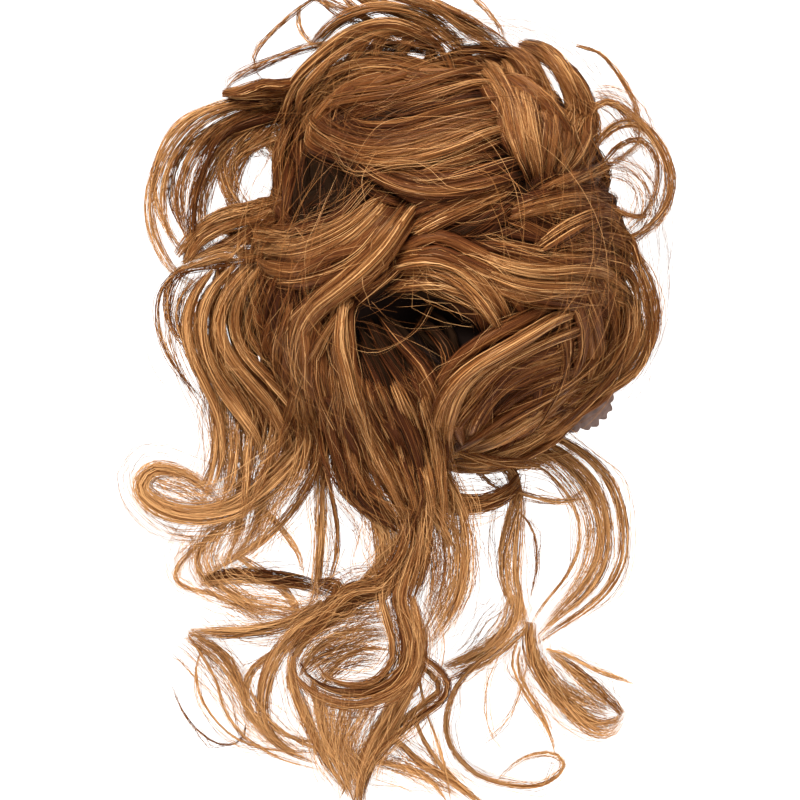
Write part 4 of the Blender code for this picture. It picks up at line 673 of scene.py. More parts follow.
# The dark middle fall, the ring curl and the falls to the lowest point
CENTRE_TENDRILS = (
    Lock(7.0, 5.0, 0.20, ((344, 430, 31), (350, 462, 34), (362, 490, 36), (384, 512, 38),
         (406, 534, 39)), "dense_curl"),
    Lock(6.0, 5.0, 0.16, ((334, 440, 28), (338, 468, 30), (348, 490, 32), (370, 508, 35),
         (396, 526, 37)), "dense_curl"),
    Lock(6.0, 4.6, 0.28, ((372, 436, 32), (384, 466, 35), (398, 496, 37), (412, 526, 39),
         (420, 552, 40)), "dense_curl"),
    Lock(6.0, 4.6, 0.42, ((404, 440, 33), (414, 470, 35), (428, 498, 37), (442, 524, 38),
         (452, 548, 37)), "dense_curl"),
    Lock(5.0, 4.4, 0.32, ((424, 448, 33), (424, 480, 36), (422, 512, 39), (420, 542, 41), (418, 572, 42),
         (410, 604, 43)), "dense_curl"),
    Lock(6.4, 4.8, 0.18, ((396, 488, 35), (412, 514, 38), (410, 544, 40), (398, 570, 40), (380, 588, 39),
         (354, 598, 38), (330, 614, 37), (306, 634, 38), (288, 652, 39)), "dense_curl"),
    Lock(4.4, 3.6, 0.34, ((404, 560, 40), (384, 584, 40), (356, 590, 39), (338, 602, 38), (318, 624, 38),
         (296, 646, 39)), "dense_curl"),
    Lock(4.0, 3.4, 0.34, ((418, 540, 41), (408, 572, 43), (402, 600, 44), (410, 628, 46), (414, 656, 47),
         (404, 682, 47), (384, 698, 46), (354, 705, 45), (322, 698, 43), (300, 682, 41), (290, 662, 38),
         (298, 644, 36)), "dense_curl"),
    Lock(4.0, 3.4, 0.24, ((410, 548, 40), (398, 580, 42), (398, 602, 43), (402, 624, 44), (405, 650, 46),
         (400, 672, 46), (382, 688, 45), (354, 694, 44), (326, 688, 42), (306, 674, 40),
         (298, 656, 38)), "dense_curl"),
    Lock(3.0, 2.8, 0.40, ((392, 572, 40), (382, 594, 40), (386, 614, 41), (392, 636, 42), (392, 660, 43),
         (376, 680, 43), (350, 684, 42), (326, 676, 40), (316, 660, 38)), "dense_curl"),
    Lock(7.0, 2.6, 0.38, ((294, 664, 37), (304, 646, 35), (324, 630, 34), (352, 620, 34), (380, 614, 36),
         (400, 616, 39)), "thin"),
    Lock(7.0, 2.4, 0.40, ((302, 672, 36), (320, 654, 34), (346, 642, 34), (374, 636, 36),
         (396, 642, 40)), "thin"),
    Lock(6.4, 2.4, 0.36, ((316, 680, 36), (336, 664, 35), (362, 654, 36), (390, 656, 40)), "thin"),
    Lock(2.0, 1.6, 0.66, ((292, 660, 37), (308, 636, 35), (336, 618, 34), (368, 608, 36)), "curl"),
    Lock(1.6, 1.4, 0.68, ((300, 676, 37), (318, 648, 35), (348, 632, 34), (384, 628, 38)), "curl"),
    Lock(1.4, 1.4, 0.62, ((322, 688, 37), (336, 666, 35), (360, 650, 35), (392, 650, 40)), "curl"),
    Lock(7.0, 3.4, 0.46, ((430, 436, 33), (440, 470, 35), (456, 510, 34), (461, 544, 33), (460, 578, 33),
         (450, 606, 34), (434, 632, 37), (420, 654, 41)), "thin"),
    Lock(6.4, 3.4, 0.52, ((414, 446, 34), (432, 486, 36), (446, 526, 35), (451, 560, 35), (447, 592, 36),
         (434, 620, 38), (420, 646, 42)), "thin"),
    Lock(6.0, 3.4, 0.46, ((408, 458, 34), (424, 496, 37), (432, 534, 37), (436, 566, 38), (432, 600, 40),
         (420, 636, 43)), "thin"),
    Lock(2.4, 2.0, 0.54, ((436, 446, 33), (450, 478, 35), (463, 512, 34), (466, 548, 33), (463, 584, 33),
         (450, 616, 35), (430, 644, 39)), "curl"),
    Lock(5.0, 4.0, 0.50, ((412, 596, 43), (418, 628, 45), (416, 660, 45), (406, 690, 43), (390, 718, 40),
         (372, 748, 37), (360, 780, 36), (358, 816, 35)), "dense_curl"),
    Lock(4.0, 3.4, 0.60, ((424, 626, 43), (420, 658, 42), (410, 686, 40), (394, 714, 38), (374, 744, 36),
         (352, 772, 35), (340, 800, 34)), "dense_curl"),
    Lock(2.8, 2.6, 0.24, ((412, 650, 46), (426, 659, 45), (440, 670, 44), (448, 684, 43), (442, 700, 42),
         (424, 714, 41), (404, 730, 39), (384, 748, 38), (368, 772, 37), (358, 812, 36)), "dense_curl"),
    Lock(2.6, 2.4, 0.54, ((418, 664, 42), (434, 676, 41), (440, 690, 40), (422, 706, 39), (400, 724, 37),
         (380, 746, 36), (364, 774, 35), (350, 812, 34)), "dense_curl"),
    Lock(2.6, 2.4, 0.52, ((382, 732, 36), (400, 744, 34), (416, 760, 33), (440, 774, 32), (462, 788, 31),
         (486, 810, 30)), "dense_curl"),
    Lock(1.6, 1.4, 0.60, ((414, 714, 36), (420, 732, 34), (432, 754, 33), (450, 776, 32), (472, 796, 31),
         (494, 806, 31)), "dense_curl"),
    Lock(1.4, 1.4, 0.66, ((360, 756, 35), (386, 764, 34), (412, 770, 33), (432, 782, 32),
         (448, 804, 31)), "dense_curl"),
    Lock(3.6, 2.8, 0.58, ((292, 656, 39), (292, 682, 38), (302, 708, 37), (314, 736, 36), (328, 764, 35),
         (350, 796, 34)), "dense_curl"),
    Lock(7.0, 3.0, 0.64, ((318, 690, 42), (326, 712, 40), (334, 738, 38), (348, 762, 36),
         (362, 788, 35)), "thin"),
    Lock(7.0, 3.0, 0.60, ((346, 698, 44), (342, 722, 41), (342, 746, 38), (352, 770, 36),
         (358, 800, 35)), "thin"),
    Lock(6.0, 2.8, 0.56, ((372, 696, 44), (360, 720, 41), (350, 744, 38), (348, 768, 36),
         (354, 800, 35)), "thin"),
    Lock(3.0, 2.4, 0.50, ((312, 680, 41), (318, 708, 40), (326, 738, 38), (340, 768, 36),
         (354, 802, 35)), "dense_curl"),
    Lock(4.6, 3.4, 0.40, ((404, 494, 33), (430, 504, 33), (458, 508, 31), (484, 506, 28), (504, 497, 22),
         (520, 482, 15)), "dense_curl"),
    Lock(3.2, 2.6, 0.46, ((396, 480, 32), (424, 490, 32), (452, 498, 30), (482, 498, 27), (506, 488, 21),
         (520, 472, 14)), "dense_curl"),
    Lock(2.6, 2.0, 0.62, ((420, 520, 36), (396, 540, 35), (376, 566, 34), (352, 590, 34)), "dense_curl"),
    Lock(1.8, 1.6, 0.66, ((378, 500, 34), (386, 526, 33), (382, 556, 33), (366, 584, 33)), "dense_curl"),
    Lock(7.0, 4.0, 0.46, ((376, 500, 35), (384, 530, 35), (384, 560, 35), (378, 590, 36)), "thin"),
    Lock(3.4, 2.6, 0.44, ((372, 512, 35), (380, 540, 35), (381, 566, 35), (376, 592, 37)), "curl"),
    Lock(7.0, 4.0, 0.56, ((352, 470, 33), (372, 500, 34), (392, 528, 36), (402, 556, 38)), "thin"),
    Lock(6.4, 3.4, 0.58, ((404, 700, 41), (392, 728, 38), (376, 756, 36), (364, 786, 35)), "thin"),
    Lock(5.6, 3.0, 0.62, ((372, 756, 35), (400, 766, 33), (430, 778, 32), (460, 796, 31)), "thin"),
    Lock(0.9, 0.9, 0.66, ((418, 670, 41), (424, 704, 39), (436, 738, 36), (446, 772, 33),
         (452, 806, 31)), "curl"),
)

# The fan at the right, with the end hook and the low loop
RIGHT_TENDRILS = (
    Lock(4.6, 3.6, 0.46, ((440, 462, 15), (474, 464, 14), (508, 462, 13), (542, 458, 13),
         (576, 452, 13)), "curl"),
    Lock(2.4, 2.2, 0.26, ((488, 448, 13), (508, 462, 14), (518, 484, 15), (514, 508, 15)), "curl"),
    Lock(3.6, 3.2, 0.58, ((490, 456, 14), (510, 472, 15), (517, 496, 15), (510, 524, 15), (504, 556, 14),
         (507, 588, 13), (518, 612, 12), (528, 634, 12)), "curl"),
    Lock(3.2, 3.0, 0.66, ((516, 476, 15), (520, 504, 14), (517, 540, 13), (516, 574, 13), (521, 604, 12),
         (529, 632, 12)), "curl"),
    Lock(0.9, 0.9, 0.40, ((520, 512, 14), (534, 532, 14), (537, 566, 13), (530, 600, 12)), "curl"),
    Lock(1.2, 1.2, 0.50, ((476, 470, 14), (492, 484, 15), (508, 492, 15)), "curl"),
    Lock(3.0, 2.6, 0.44, ((530, 428, 12), (562, 440, 12), (594, 462, 11), (614, 490, 9), (624, 526, 8),
         (622, 562, 8), (606, 592, 9), (580, 614, 11), (552, 632, 12), (528, 652, 13)), "curl"),
    Lock(2.0, 1.8, 0.58, ((524, 436, 12), (560, 450, 12), (588, 474, 11), (604, 504, 10), (609, 540, 10),
         (602, 572, 10), (582, 600, 11), (554, 622, 12), (530, 646, 13)), "curl"),
    Lock(2.6, 2.2, 0.56, ((514, 444, 13), (552, 456, 13), (582, 482, 12), (598, 514, 12), (599, 550, 11),
         (586, 582, 12), (560, 610, 12), (534, 638, 12)), "curl"),
    Lock(3.0, 2.2, 0.64, ((506, 450, 13), (544, 462, 14), (572, 488, 14), (588, 520, 13), (588, 556, 13),
         (572, 588, 13), (546, 618, 12)), "thin"),
    Lock(1.3, 1.2, 0.60, ((500, 458, 13), (536, 466, 14), (560, 486, 15), (576, 514, 15), (578, 546, 15),
         (566, 576, 14), (542, 606, 13), (526, 634, 12)), "curl"),
    Lock(1.6, 1.5, 0.54, ((514, 490, 16), (536, 497, 17), (560, 501, 17), (586, 498, 15)), "curl"),
    Lock(5.0, 3.8, 0.48, ((530, 622, 12), (528, 644, 12), (536, 668, 11), (552, 690, 10), (574, 710, 9),
         (596, 722, 8), (616, 720, 9), (624, 708, 11)), "curl"),
    Lock(4.0, 3.2, 0.58, ((528, 630, 12), (534, 660, 11), (548, 686, 10), (572, 714, 9), (594, 732, 8),
         (612, 732, 8), (622, 720, 10)), "curl"),
    Lock(4.6, 3.2, 0.52, ((560, 684, 11), (582, 700, 9), (604, 708, 9), (620, 712, 11)), "thin"),
    Lock(3.0, 2.4, 0.32, ((622, 714, 11), (608, 698, 13), (588, 680, 15), (566, 662, 17),
         (546, 650, 18)), "curl"),
    Lock(2.0, 1.8, 0.62, ((608, 704, 12), (588, 688, 15), (568, 668, 17), (548, 650, 19)), "curl"),
    Lock(1.4, 1.2, 0.62, ((546, 649, 19), (570, 657, 19), (598, 671, 20), (634, 684, 20)), "curl"),
    Lock(3.6, 2.2, 0.66, ((520, 600, 12), (512, 624, 12), (496, 642, 12), (472, 656, 11),
         (440, 668, 10)), "curl"),
    Lock(2.2, 1.8, 0.58, ((528, 626, 12), (510, 644, 12), (488, 660, 11), (462, 674, 11),
         (440, 682, 10)), "curl"),
    Lock(2.2, 2.0, 0.56, ((500, 646, 12), (478, 662, 12), (458, 684, 12), (448, 708, 13), (447, 732, 13),
         (458, 756, 13), (480, 775, 12), (510, 784, 11), (540, 784, 10), (560, 772, 9), (562, 760, 8),
         (548, 754, 8), (526, 758, 9), (506, 772, 11), (496, 786, 12)), "curl"),
    Lock(1.0, 1.0, 0.60, ((518, 640, 12), (512, 664, 12), (524, 692, 11), (540, 716, 10), (552, 740, 9),
         (556, 756, 8)), "curl"),
    Lock(0.9, 0.9, 0.64, ((520, 646, 11), (518, 668, 11), (530, 694, 10), (546, 722, 9),
         (554, 750, 8)), "curl"),
    Lock(4.4, 2.8, 0.64, ((524, 440, 12), (562, 456, 12), (594, 486, 11), (606, 526, 10), (600, 566, 10),
         (576, 602, 11), (544, 632, 12)), "thin"),
    Lock(6.4, 3.2, 0.62, ((516, 590, 12), (510, 622, 12), (490, 646, 12), (462, 662, 11),
         (436, 672, 10)), "thin"),
    Lock(6.0, 3.0, 0.60, ((540, 660, 11), (556, 684, 11), (580, 702, 10), (606, 712, 10)), "thin"),
    Lock(0.6, 0.6, 0.66, ((500, 650, 12), (486, 690, 12), (490, 730, 12), (510, 760, 11)), "thin"),
    Lock(0.6, 0.6, 0.66, ((530, 650, 12), (520, 690, 12), (502, 726, 12), (470, 752, 12)), "thin"),
    Lock(0.6, 0.6, 0.62, ((596, 480, 12), (570, 500, 13), (540, 504, 14), (508, 496, 15)), "thin"),
)


def smooth_between(before, start, end, after, t):
    """Catmull-Rom value a share t of the way from start to end."""
    return 0.5 * (2 * start + (end - before) * t
                  + (2 * before - 5 * start + 4 * end - after) * t ** 2
                  + (3 * (start - end) + after - before) * t ** 3)


def outline_radius(angle):
    """Radius of the bun round its middle, for an array of angles."""
    place = np.degrees(angle) % 360 / OUTLINE_STEP
    index = place.astype(int)
    count = len(OUTLINE_RADII)
    before, start, end, after = (OUTLINE_RADII[(index + k) % count] for k in (-1, 0, 1, 2))
    return smooth_between(before, start, end, after, place - index)


def flat_place(across, down):
    """Across and up, in metres, of a pixel of the front view at the focus plane."""
    return (across - ORIGIN_ACROSS) * PX, (ORIGIN_DOWN - down) * PX


BUN_X, BUN_Z = flat_place(BUN_ACROSS, BUN_DOWN)
POCKET_X, POCKET_Z = flat_place(POCKET_ACROSS, POCKET_DOWN)
VIEW_X, VIEW_Z = flat_place(VIEW_ACROSS, VIEW_DOWN)


def front_depth(x, z):
    """Depth of the bun's rounded front at arrays of places."""
    dx, dz = x - BUN_X, z - BUN_Z
    share = np.minimum(1.0, np.hypot(dx, dz) / outline_radius(np.arctan2(dz, dx)))
    swell = FRONT_SWELL * (1 - share ** SWELL_FALL) ** SWELL_ROUND
    from_pocket = np.hypot(x - POCKET_X, z - POCKET_Z)
    dent = POCKET_DENT * np.exp(-(from_pocket / POCKET_SPREAD) ** 2)
    return RIM_DEPTH - swell + dent


def seen_at(across, down, depth):
    """The place at a depth that shows at a pixel, as the camera's rays spread with distance."""
    spread = 1 + (depth - FOCUS_DEPTH) / CAMERA_DISTANCE
    x = VIEW_X + (across - VIEW_ACROSS) * PX * spread
    z = VIEW_Z + (VIEW_DOWN - down) * PX * spread
    return np.stack([x, depth, z], axis=-1)


def route_points(route, on_bun):
    """A lock's route as places in metres."""
    across, down, rise = np.array(route, dtype=float).T
    if not on_bun:
        return seen_at(across, down, -rise * MM)
    for end in (0, -1):
        if rise[end] < BURIED_BELOW:
            rise[end] = BURIED_RISE
    depth = np.full(len(across), FOCUS_DEPTH)
    for _ in range(4):
        place = seen_at(across, down, depth)
        depth = front_depth(place[:, 0], place[:, 2]) - rise * MM
    return seen_at(across, down, depth)


def smooth_route(knots):
    """Points at equal steps on a smooth curve through the knots."""
    knots = np.asarray(knots)
    ends = np.vstack([2 * knots[0] - knots[1], knots, 2 * knots[-1] - knots[-2]])
    t = np.linspace(0, 1, 16, endpoint=False)[:, None]
    parts = [smooth_between(ends[i - 1], ends[i], ends[i + 1], ends[i + 2], t)
             for i in range(1, len(ends) - 2)]
    fine = np.vstack(parts + [knots[-1:]])
    run = np.concatenate([[0], np.cumsum(np.linalg.norm(np.diff(fine, axis=0), axis=1))])
    goal = np.linspace(0, run[-1], max(12, int(run[-1] / ROUTE_STEP)))
    return np.stack([np.interp(goal, run, fine[:, axis]) for axis in range(3)], axis=1)


def unit(vectors):
    """Vectors scaled to a length of 1."""
    return vectors / np.maximum(np.linalg.norm(vectors, axis=-1, keepdims=True), 1e-9)


def outward_at(places, roundness):
    """The way a lock's broad side faces: out of the bun, mixed with straight to the front."""
    middle = np.array([BUN_X, BUN_MIDDLE_DEPTH, BUN_Z])
    return unit(roundness * unit(places - middle) + (1 - roundness) * np.array([0, -1.0, 0]))


def path_frame(path, outward):
    """Tangent, sideways and outward directions along a path."""
    tangent = unit(np.gradient(path, axis=0))
    side = unit(np.cross(tangent, outward))
    return tangent, side, unit(np.cross(side, tangent))


class HairMesh:
    """Collects ribbons and tubes and makes them one mesh, with a shade and a grain."""

    def __init__(self):
        self.places, self.shades, self.grains = [], [], []
        self.corners, self.sizes, self.cells = [], [], []
        self.point_count = self.strip_count = 0

    def add(self, places, shades, grains, closed):
        """Strips given by places (strips, points, sides, 3); closed ones are capped tubes."""
        strips, points, sides, _ = places.shape
        self.places.append(places.reshape(-1, 3))
        self.shades.append(np.broadcast_to(shades, (strips, points, sides)).reshape(-1))
        self.grains.append(np.broadcast_to(grains, places.shape).reshape(-1, 3))
        index = self.point_count + np.arange(strips * points * sides).reshape(strips, points, sides)
        after = np.roll(index, -1, axis=2) if closed else index[:, :, 1:]
        first = index if closed else index[:, :, :-1]
        quads = np.stack([first[:, :-1], after[:, :-1], after[:, 1:], first[:, 1:]], axis=-1)
        faces_round = first.shape[2]
        strip = self.strip_count + np.arange(strips)[:, None, None, None]
        row = np.arange(points - 1)[None, :, None, None] + np.array([0, 0, 1, 1])
        turn = np.arange(faces_round)[None, None, :, None] + np.array([0, 1, 1, 0])
        cells = np.stack(np.broadcast_arrays(strip, row / (points - 1), turn / faces_round),
                         axis=-1)
        self.corners.append(quads.reshape(-1))
        self.cells.append(cells.reshape(-1, 3))
        self.sizes.append(np.full(quads.size // 4, 4))
        if closed:
            caps = np.stack([index[:, 0, ::-1], index[:, -1]], axis=1)
            cells = np.stack(np.broadcast_arrays(
                strip[..., 0], np.array([0.0, 1.0])[None, :, None],
                np.arange(sides)[None, None] / sides), axis=-1)
            self.corners.append(caps.reshape(-1))
            self.cells.append(cells.reshape(-1, 3))
            self.sizes.append(np.full(strips * 2, sides))
        self.point_count += index.size
        self.strip_count += strips

    def bake_map(self):
        """A cell of the picture for each strip, its length across and its breadth up."""
        strip, along, turn = np.vstack(self.cells).T
        columns = max(1, int(round(math.sqrt(self.strip_count) / 3)))
        rows = math.ceil(self.strip_count / columns)
        u = (strip % columns + 0.02 + 0.96 * along) / columns
        v = (strip // columns + 0.06 + 0.88 * turn) / rows
        return np.stack([u, v], axis=-1)

    def piece(self, name, material):
        """Builds the mesh object."""
        mesh = bpy.data.meshes.new(name)
        places = np.vstack(self.places)
        corners = np.concatenate(self.corners)
        sizes = np.concatenate(self.sizes)
        mesh.vertices.add(len(places))
        mesh.vertices.foreach_set("co", places.astype(np.float32).ravel())
        mesh.loops.add(len(corners))
        mesh.loops.foreach_set("vertex_index", corners.astype(np.int32))
        mesh.polygons.add(len(sizes))
        starts = np.concatenate([[0], np.cumsum(sizes)[:-1]])
        mesh.polygons.foreach_set("loop_start", starts.astype(np.int32))
        mesh.update(calc_edges=True)
        mesh.validate()
        mesh.shade_smooth()
        shade = mesh.attributes.new("shade", "FLOAT", "POINT")
        shade.data.foreach_set("value", np.concatenate(self.shades).astype(np.float32))
        grain = mesh.attributes.new("grain", "FLOAT_VECTOR", "POINT")
        grain.data.foreach_set("vector", np.vstack(self.grains).astype(np.float32).ravel())
        picture = mesh.uv_layers.new(name="OFBake")
        picture.data.foreach_set("uv", self.bake_map().astype(np.float32).ravel())
        mesh.materials.append(material)
        return linked(bpy.data.objects.new(name, mesh))


def linked(piece):
    """Puts a piece into the scene."""
    bpy.context.scene.collection.objects.link(piece)
    return piece


def painted_pocket_shade(places):
    """How much painted shade darkens the hair at places, deep down and round the bun's pockets."""
    lift = (front_depth(places[..., 0], places[..., 2]) - places[..., 1]) / MM
    dx, dz = places[..., 0] - BUN_X, places[..., 2] - BUN_Z
    share = np.hypot(dx, dz) / outline_radius(np.arctan2(dz, dx))
    inside = np.clip((1.04 - share) / 0.2, 0, 1)
    total = DEEP_PAINTED_SHADE * inside * np.clip(1 - lift / DEEP_LIFT, 0, 1.5)
    for pocket in POCKET_PAINTED_SHADES:
        x, z = flat_place(pocket.across, pocket.down)
        away = np.hypot(places[..., 0] - x, places[..., 2] - z) / (pocket.reach * PX)
        total = total + pocket.dark * np.exp(-away ** 2) * np.clip(1.3 - lift / POCKET_LIFT, 0, 1)
    return total


def painted_root_shade(places):
    """How much painted shade darkens the rim locks, and the tendrils near the bun that they come out of.
    """
    _, top = flat_place(0, ROOT_TOP)
    _, bottom = flat_place(0, ROOT_BOTTOM)
    near = np.clip((places[..., 2] - bottom) / (top - bottom), 0, 1)
    return ROOT_PAINTED_SHADE * near * np.clip((ROOT_BACK - places[..., 1]) / ROOT_BACK, 0, 1)


def lock_width(t, start, tip):
    """Share of a lock's full width along it: drawn in at the start, fine at the tip."""
    swell = start + (1 - start) * np.sin(math.pi * np.minimum(0.5, t * 1.6))
    return swell * (1 - (1 - tip) * np.clip((t - 0.6) / 0.4, 0, 1) ** 1.5)


def slow_wave(rng, t, count, slow, fast):
    """Gentle sine waves over t, one row for each of count."""
    turns = rng.uniform(slow, fast, (count, 1))
    return np.sin(2 * math.pi * (turns * t + rng.uniform(0, 1, (count, 1))))


def add_lock(hair, rng, knots, width, thick, shade, kind, roundness):
    """One lock: a few clumps of strands, round a core where its kind has one."""
    path = smooth_route(knots)
    _, side, lift = path_frame(path, outward_at(path, roundness))
    length = np.linalg.norm(np.diff(path, axis=0), axis=1).sum()
    clumps = max(1, round(width / kind.clump))
    t = np.linspace(0, 1, len(path))
    size = lock_width(t, kind.start, kind.tip)
    for clump in range(clumps):
        lane = ((clump + 0.5) / clumps * 2 - 1) * (1 - 0.5 / clumps) if clumps > 1 else 0.0
        loose = 1.0 if clumps > 1 else 0.2
        across = lane + 0.24 * loose * slow_wave(rng, t, 1, 0.4, 1.0)[0]
        rise = 0.5 * slow_wave(rng, t, 1, 0.4, 1.0)[0] + rng.uniform(-0.4, 0.4)
        middle = (path + side * (across * size * width / 2)[:, None]
                  + lift * (rise * size * thick / 2)[:, None])
        half_width = width / clumps * (OVERLAP if clumps > 1 else 0.5)
        half_thick = min(thick / 2, half_width)
        clump_shade = shade + rng.normal(0, kind.mottle)
        turn = rng.uniform(-0.5, 0.5) * math.pi * min(1.0, length / (60 * MM))
        section = Section(middle, side, lift, size, half_width, half_thick, turn)
        if kind.core:
            add_core(hair, rng, section, kind, clump_shade, length)
        add_strands(hair, rng, section, kind, clump_shade, length)


def add_core(hair, rng, section, kind, shade, length):
    """The inner body of a clump: an oval tube with shallow grooves along it."""
    points = max(6, int(length / CORE_STEP))
    share = np.linspace(0.01, 0.97, points)
    centre, across, out, size = section.at(share)
    size = size * np.interp(share, (0.0, 0.06, 0.75, 1.0), (0.4, 1.0, 1.0, 0.2)) * kind.core
    angle = 2 * math.pi * np.arange(CORE_SIDES) / CORE_SIDES - math.pi / 2
    groove = 1 + 0.07 * slow_wave(rng, share, CORE_SIDES, 0.2, 0.8).T
    ring = size[:, None] * groove
    places = (centre[:, None]
              + across[:, None] * (ring * np.cos(angle) * section.half_width)[..., None]
              + out[:, None] * (ring * np.sin(angle) * section.half_thick)[..., None])
    # The core is painted darker, as shade inside the clump
    shades = np.broadcast_to(shade - CORE_PAINTED_SHADE, places.shape[:2])
    grains = np.stack(np.broadcast_arrays(
        (share * length / GRAIN_LENGTH)[:, None],
        (angle * section.half_width / GRAIN_WIDTH)[None],
        rng.uniform(0, 90)), axis=-1)
    # Painted shade: darker deep down and in the pockets on the bun, and near the bun on the tendrils and
    # rim locks
    shades = shades - (painted_pocket_shade(places) if kind.on_bun else painted_root_shade(places))
    hair.add(places[None], shades[None], grains[None], closed=True)


def add_strands(hair, rng, section, kind, shade, length):
    """Strands of a clump as narrow ribbons, over an oval section that turns slowly."""
    count = max(3, round(kind.density * 2 * section.half_width / MM))
    points = int(np.clip(length / kind.step, *STRAND_POINTS))
    way = np.linspace(0, 1, points)
    reach = np.sqrt(rng.uniform(kind.hollow ** 2, 1.0, (count, 1)))
    begin = rng.uniform(0.0, 1.0, (count, 1)) ** 2 * kind.fray * 0.4
    finish = 1 - rng.uniform(0.0, 1.0, (count, 1)) ** 1.6 * kind.fray
    share = begin + (finish - begin) * way
    centre, across, out, size = section.at(share)
    angle = rng.uniform(0, 2 * math.pi, (count, 1)) + section.turn * share
    wide = slow_wave(rng, way, count, 0.4, 1.2)
    stray = np.where(rng.uniform(0, 1, (count, 1)) < WILD_SHARE, WILD_STRAY, 1.0)
    loose = kind.wild * stray * (0.3 + 0.7 * way)
    u = (reach * np.cos(angle) + 0.14 * wide) * size * section.half_width
    v = reach * np.sin(angle) * size * section.half_thick
    u = u + slow_wave(rng, way, count, 0.7, 2.2) * loose * WANDER
    v = v + slow_wave(rng, way, count, 0.7, 2.2) * loose * WANDER
    paths = centre + across * u[..., None] + out * v[..., None]
    tangent = unit(np.gradient(paths, axis=1))
    tilt = rng.normal(math.pi / 2, 0.5, (count, 1)) if kind.front else angle
    facing = unit(across * np.cos(tilt)[..., None] * section.half_thick
                  + out * np.sin(tilt)[..., None] * section.half_width)
    roll = rng.normal(0, ROLL, (count, 1)) + 0.4 * slow_wave(rng, way, count, 0.3, 1.0)
    breadth = unit(np.cross(tangent, facing))
    breadth = breadth * np.cos(roll)[..., None] + facing * np.sin(roll)[..., None]
    taper = np.interp(way, (0, 0.08, 0.75, 1.0), (0.5, 1.0, 1.0, 0.2))
    half = STRAND_HALF_WIDTH * kind.coarse * rng.uniform(0.7, 1.3, (count, 1)) * taper
    edge = breadth * half[..., None]
    places = np.stack([paths - edge, paths + edge], axis=2)
    airy = kind.front and not kind.core
    # Painted light and shade: a strand on the lock's outer side is lighter, one on its underside darker
    # Painted light: airy strands and tips are lighter, as light shines through thin hair
    shades = (shade + rng.normal(0, STRAND_MOTTLE * (0.6 if airy else 1.0), (count, 1))
              + AIRY_PAINTED_LIGHT * airy + 0.04 * wide + 0.09 * np.sin(angle) + kind.tip_light * way)
    # Painted shade: darker deep down and in the pockets on the bun, and near the bun on the tendrils and
    # rim locks
    shades = shades - (painted_pocket_shade(paths) if kind.on_bun else painted_root_shade(paths))
    grains = np.stack(np.broadcast_arrays(
        (share * length / GRAIN_LENGTH)[..., None],
        rng.uniform(0, 90, (count, 1, 1)) + np.array([0.0, 0.4]),
        rng.uniform(0, 90)), axis=-1)
    hair.add(places, shades[..., None], grains, closed=False)


class Section:
    """The moving oval frame of a clump."""

    def __init__(self, middle, side, lift, size, half_width, half_thick, turn):
        self.table = np.hstack([middle, side, lift, size[:, None]])
        self.half_width, self.half_thick, self.turn = half_width, half_thick, turn

    def at(self, share):
        """Centre, across, out and size at shares of the length, an array of any shape."""
        goal = np.linspace(0, 1, len(self.table))
        read = np.stack([np.interp(share, goal, column) for column in self.table.T], axis=-1)
        return read[..., 0:3], read[..., 3:6], read[..., 6:9], read[..., 9]


def map_range(tree, source, taken, given):
    """The output of a node that maps source from one range to another."""
    node = tree.nodes.new("ShaderNodeMapRange")
    node.inputs["From Min"].default_value, node.inputs["From Max"].default_value = taken
    node.inputs["To Min"].default_value, node.inputs["To Max"].default_value = given
    tree.links.new(source, node.inputs["Value"])
    return node.outputs["Result"]


def hair_material(name):
    """Silky hair whose colour follows each strand's shade, its tone with painted light and shade, with
    fine grain along it.
    """
    material = bpy.data.materials.new(name)
    material.use_nodes = True
    nodes, links = material.node_tree.nodes, material.node_tree.links
    shader = nodes["Principled BSDF"]
    shade = nodes.new("ShaderNodeAttribute")
    shade.attribute_name = "shade"
    grain = nodes.new("ShaderNodeAttribute")
    grain.attribute_name = "grain"
    noise = nodes.new("ShaderNodeTexNoise")
    noise.inputs["Scale"].default_value = 1.0
    noise.inputs["Detail"].default_value = 2.0
    links.new(grain.outputs["Vector"], noise.inputs["Vector"])
    factor = map_range(material.node_tree, noise.outputs["Fac"], (0.32, 0.68),
                       (1 - GRAIN_SHADE, 1 + GRAIN_SHADE))
    mixed = nodes.new("ShaderNodeMath")
    mixed.operation = "MULTIPLY"
    links.new(factor, mixed.inputs[0])
    links.new(shade.outputs["Fac"], mixed.inputs[1])
    ramp = nodes.new("ShaderNodeValToRGB")
    stops = ramp.color_ramp.elements
    while len(stops) < len(HAIR_SHADES):
        stops.new(0.5)
    for stop, (place, colour) in zip(stops, HAIR_SHADES):
        stop.position = place
        stop.color = colour
    links.new(mixed.outputs[0], ramp.inputs["Fac"])
    links.new(ramp.outputs["Color"], shader.inputs["Base Color"])
    rough = map_range(material.node_tree, mixed.outputs[0], (0.05, 0.45), HAIR_ROUGHNESS)
    links.new(rough, shader.inputs["Roughness"])
    bump = nodes.new("ShaderNodeBump")
    bump.inputs["Strength"].default_value = RELIEF_STRENGTH
    bump.inputs["Distance"].default_value = RELIEF_DEPTH
    links.new(noise.outputs["Fac"], bump.inputs["Height"])
    links.new(bump.outputs["Normal"], shader.inputs["Normal"])
    shader.inputs["Specular IOR Level"].default_value = HAIR_SPECULAR
    shader.inputs["Specular Tint"].default_value = HAIR_TINT
    return material


def plain_material(name, colour, roughness, specular=0.5):
    """A material of one colour."""
    material = bpy.data.materials.new(name)
    material.use_nodes = True
    shader = material.node_tree.nodes["Principled BSDF"]
    shader.inputs["Base Color"].default_value = colour
    shader.inputs["Roughness"].default_value = roughness
    shader.inputs["Specular IOR Level"].default_value = specular
    return material


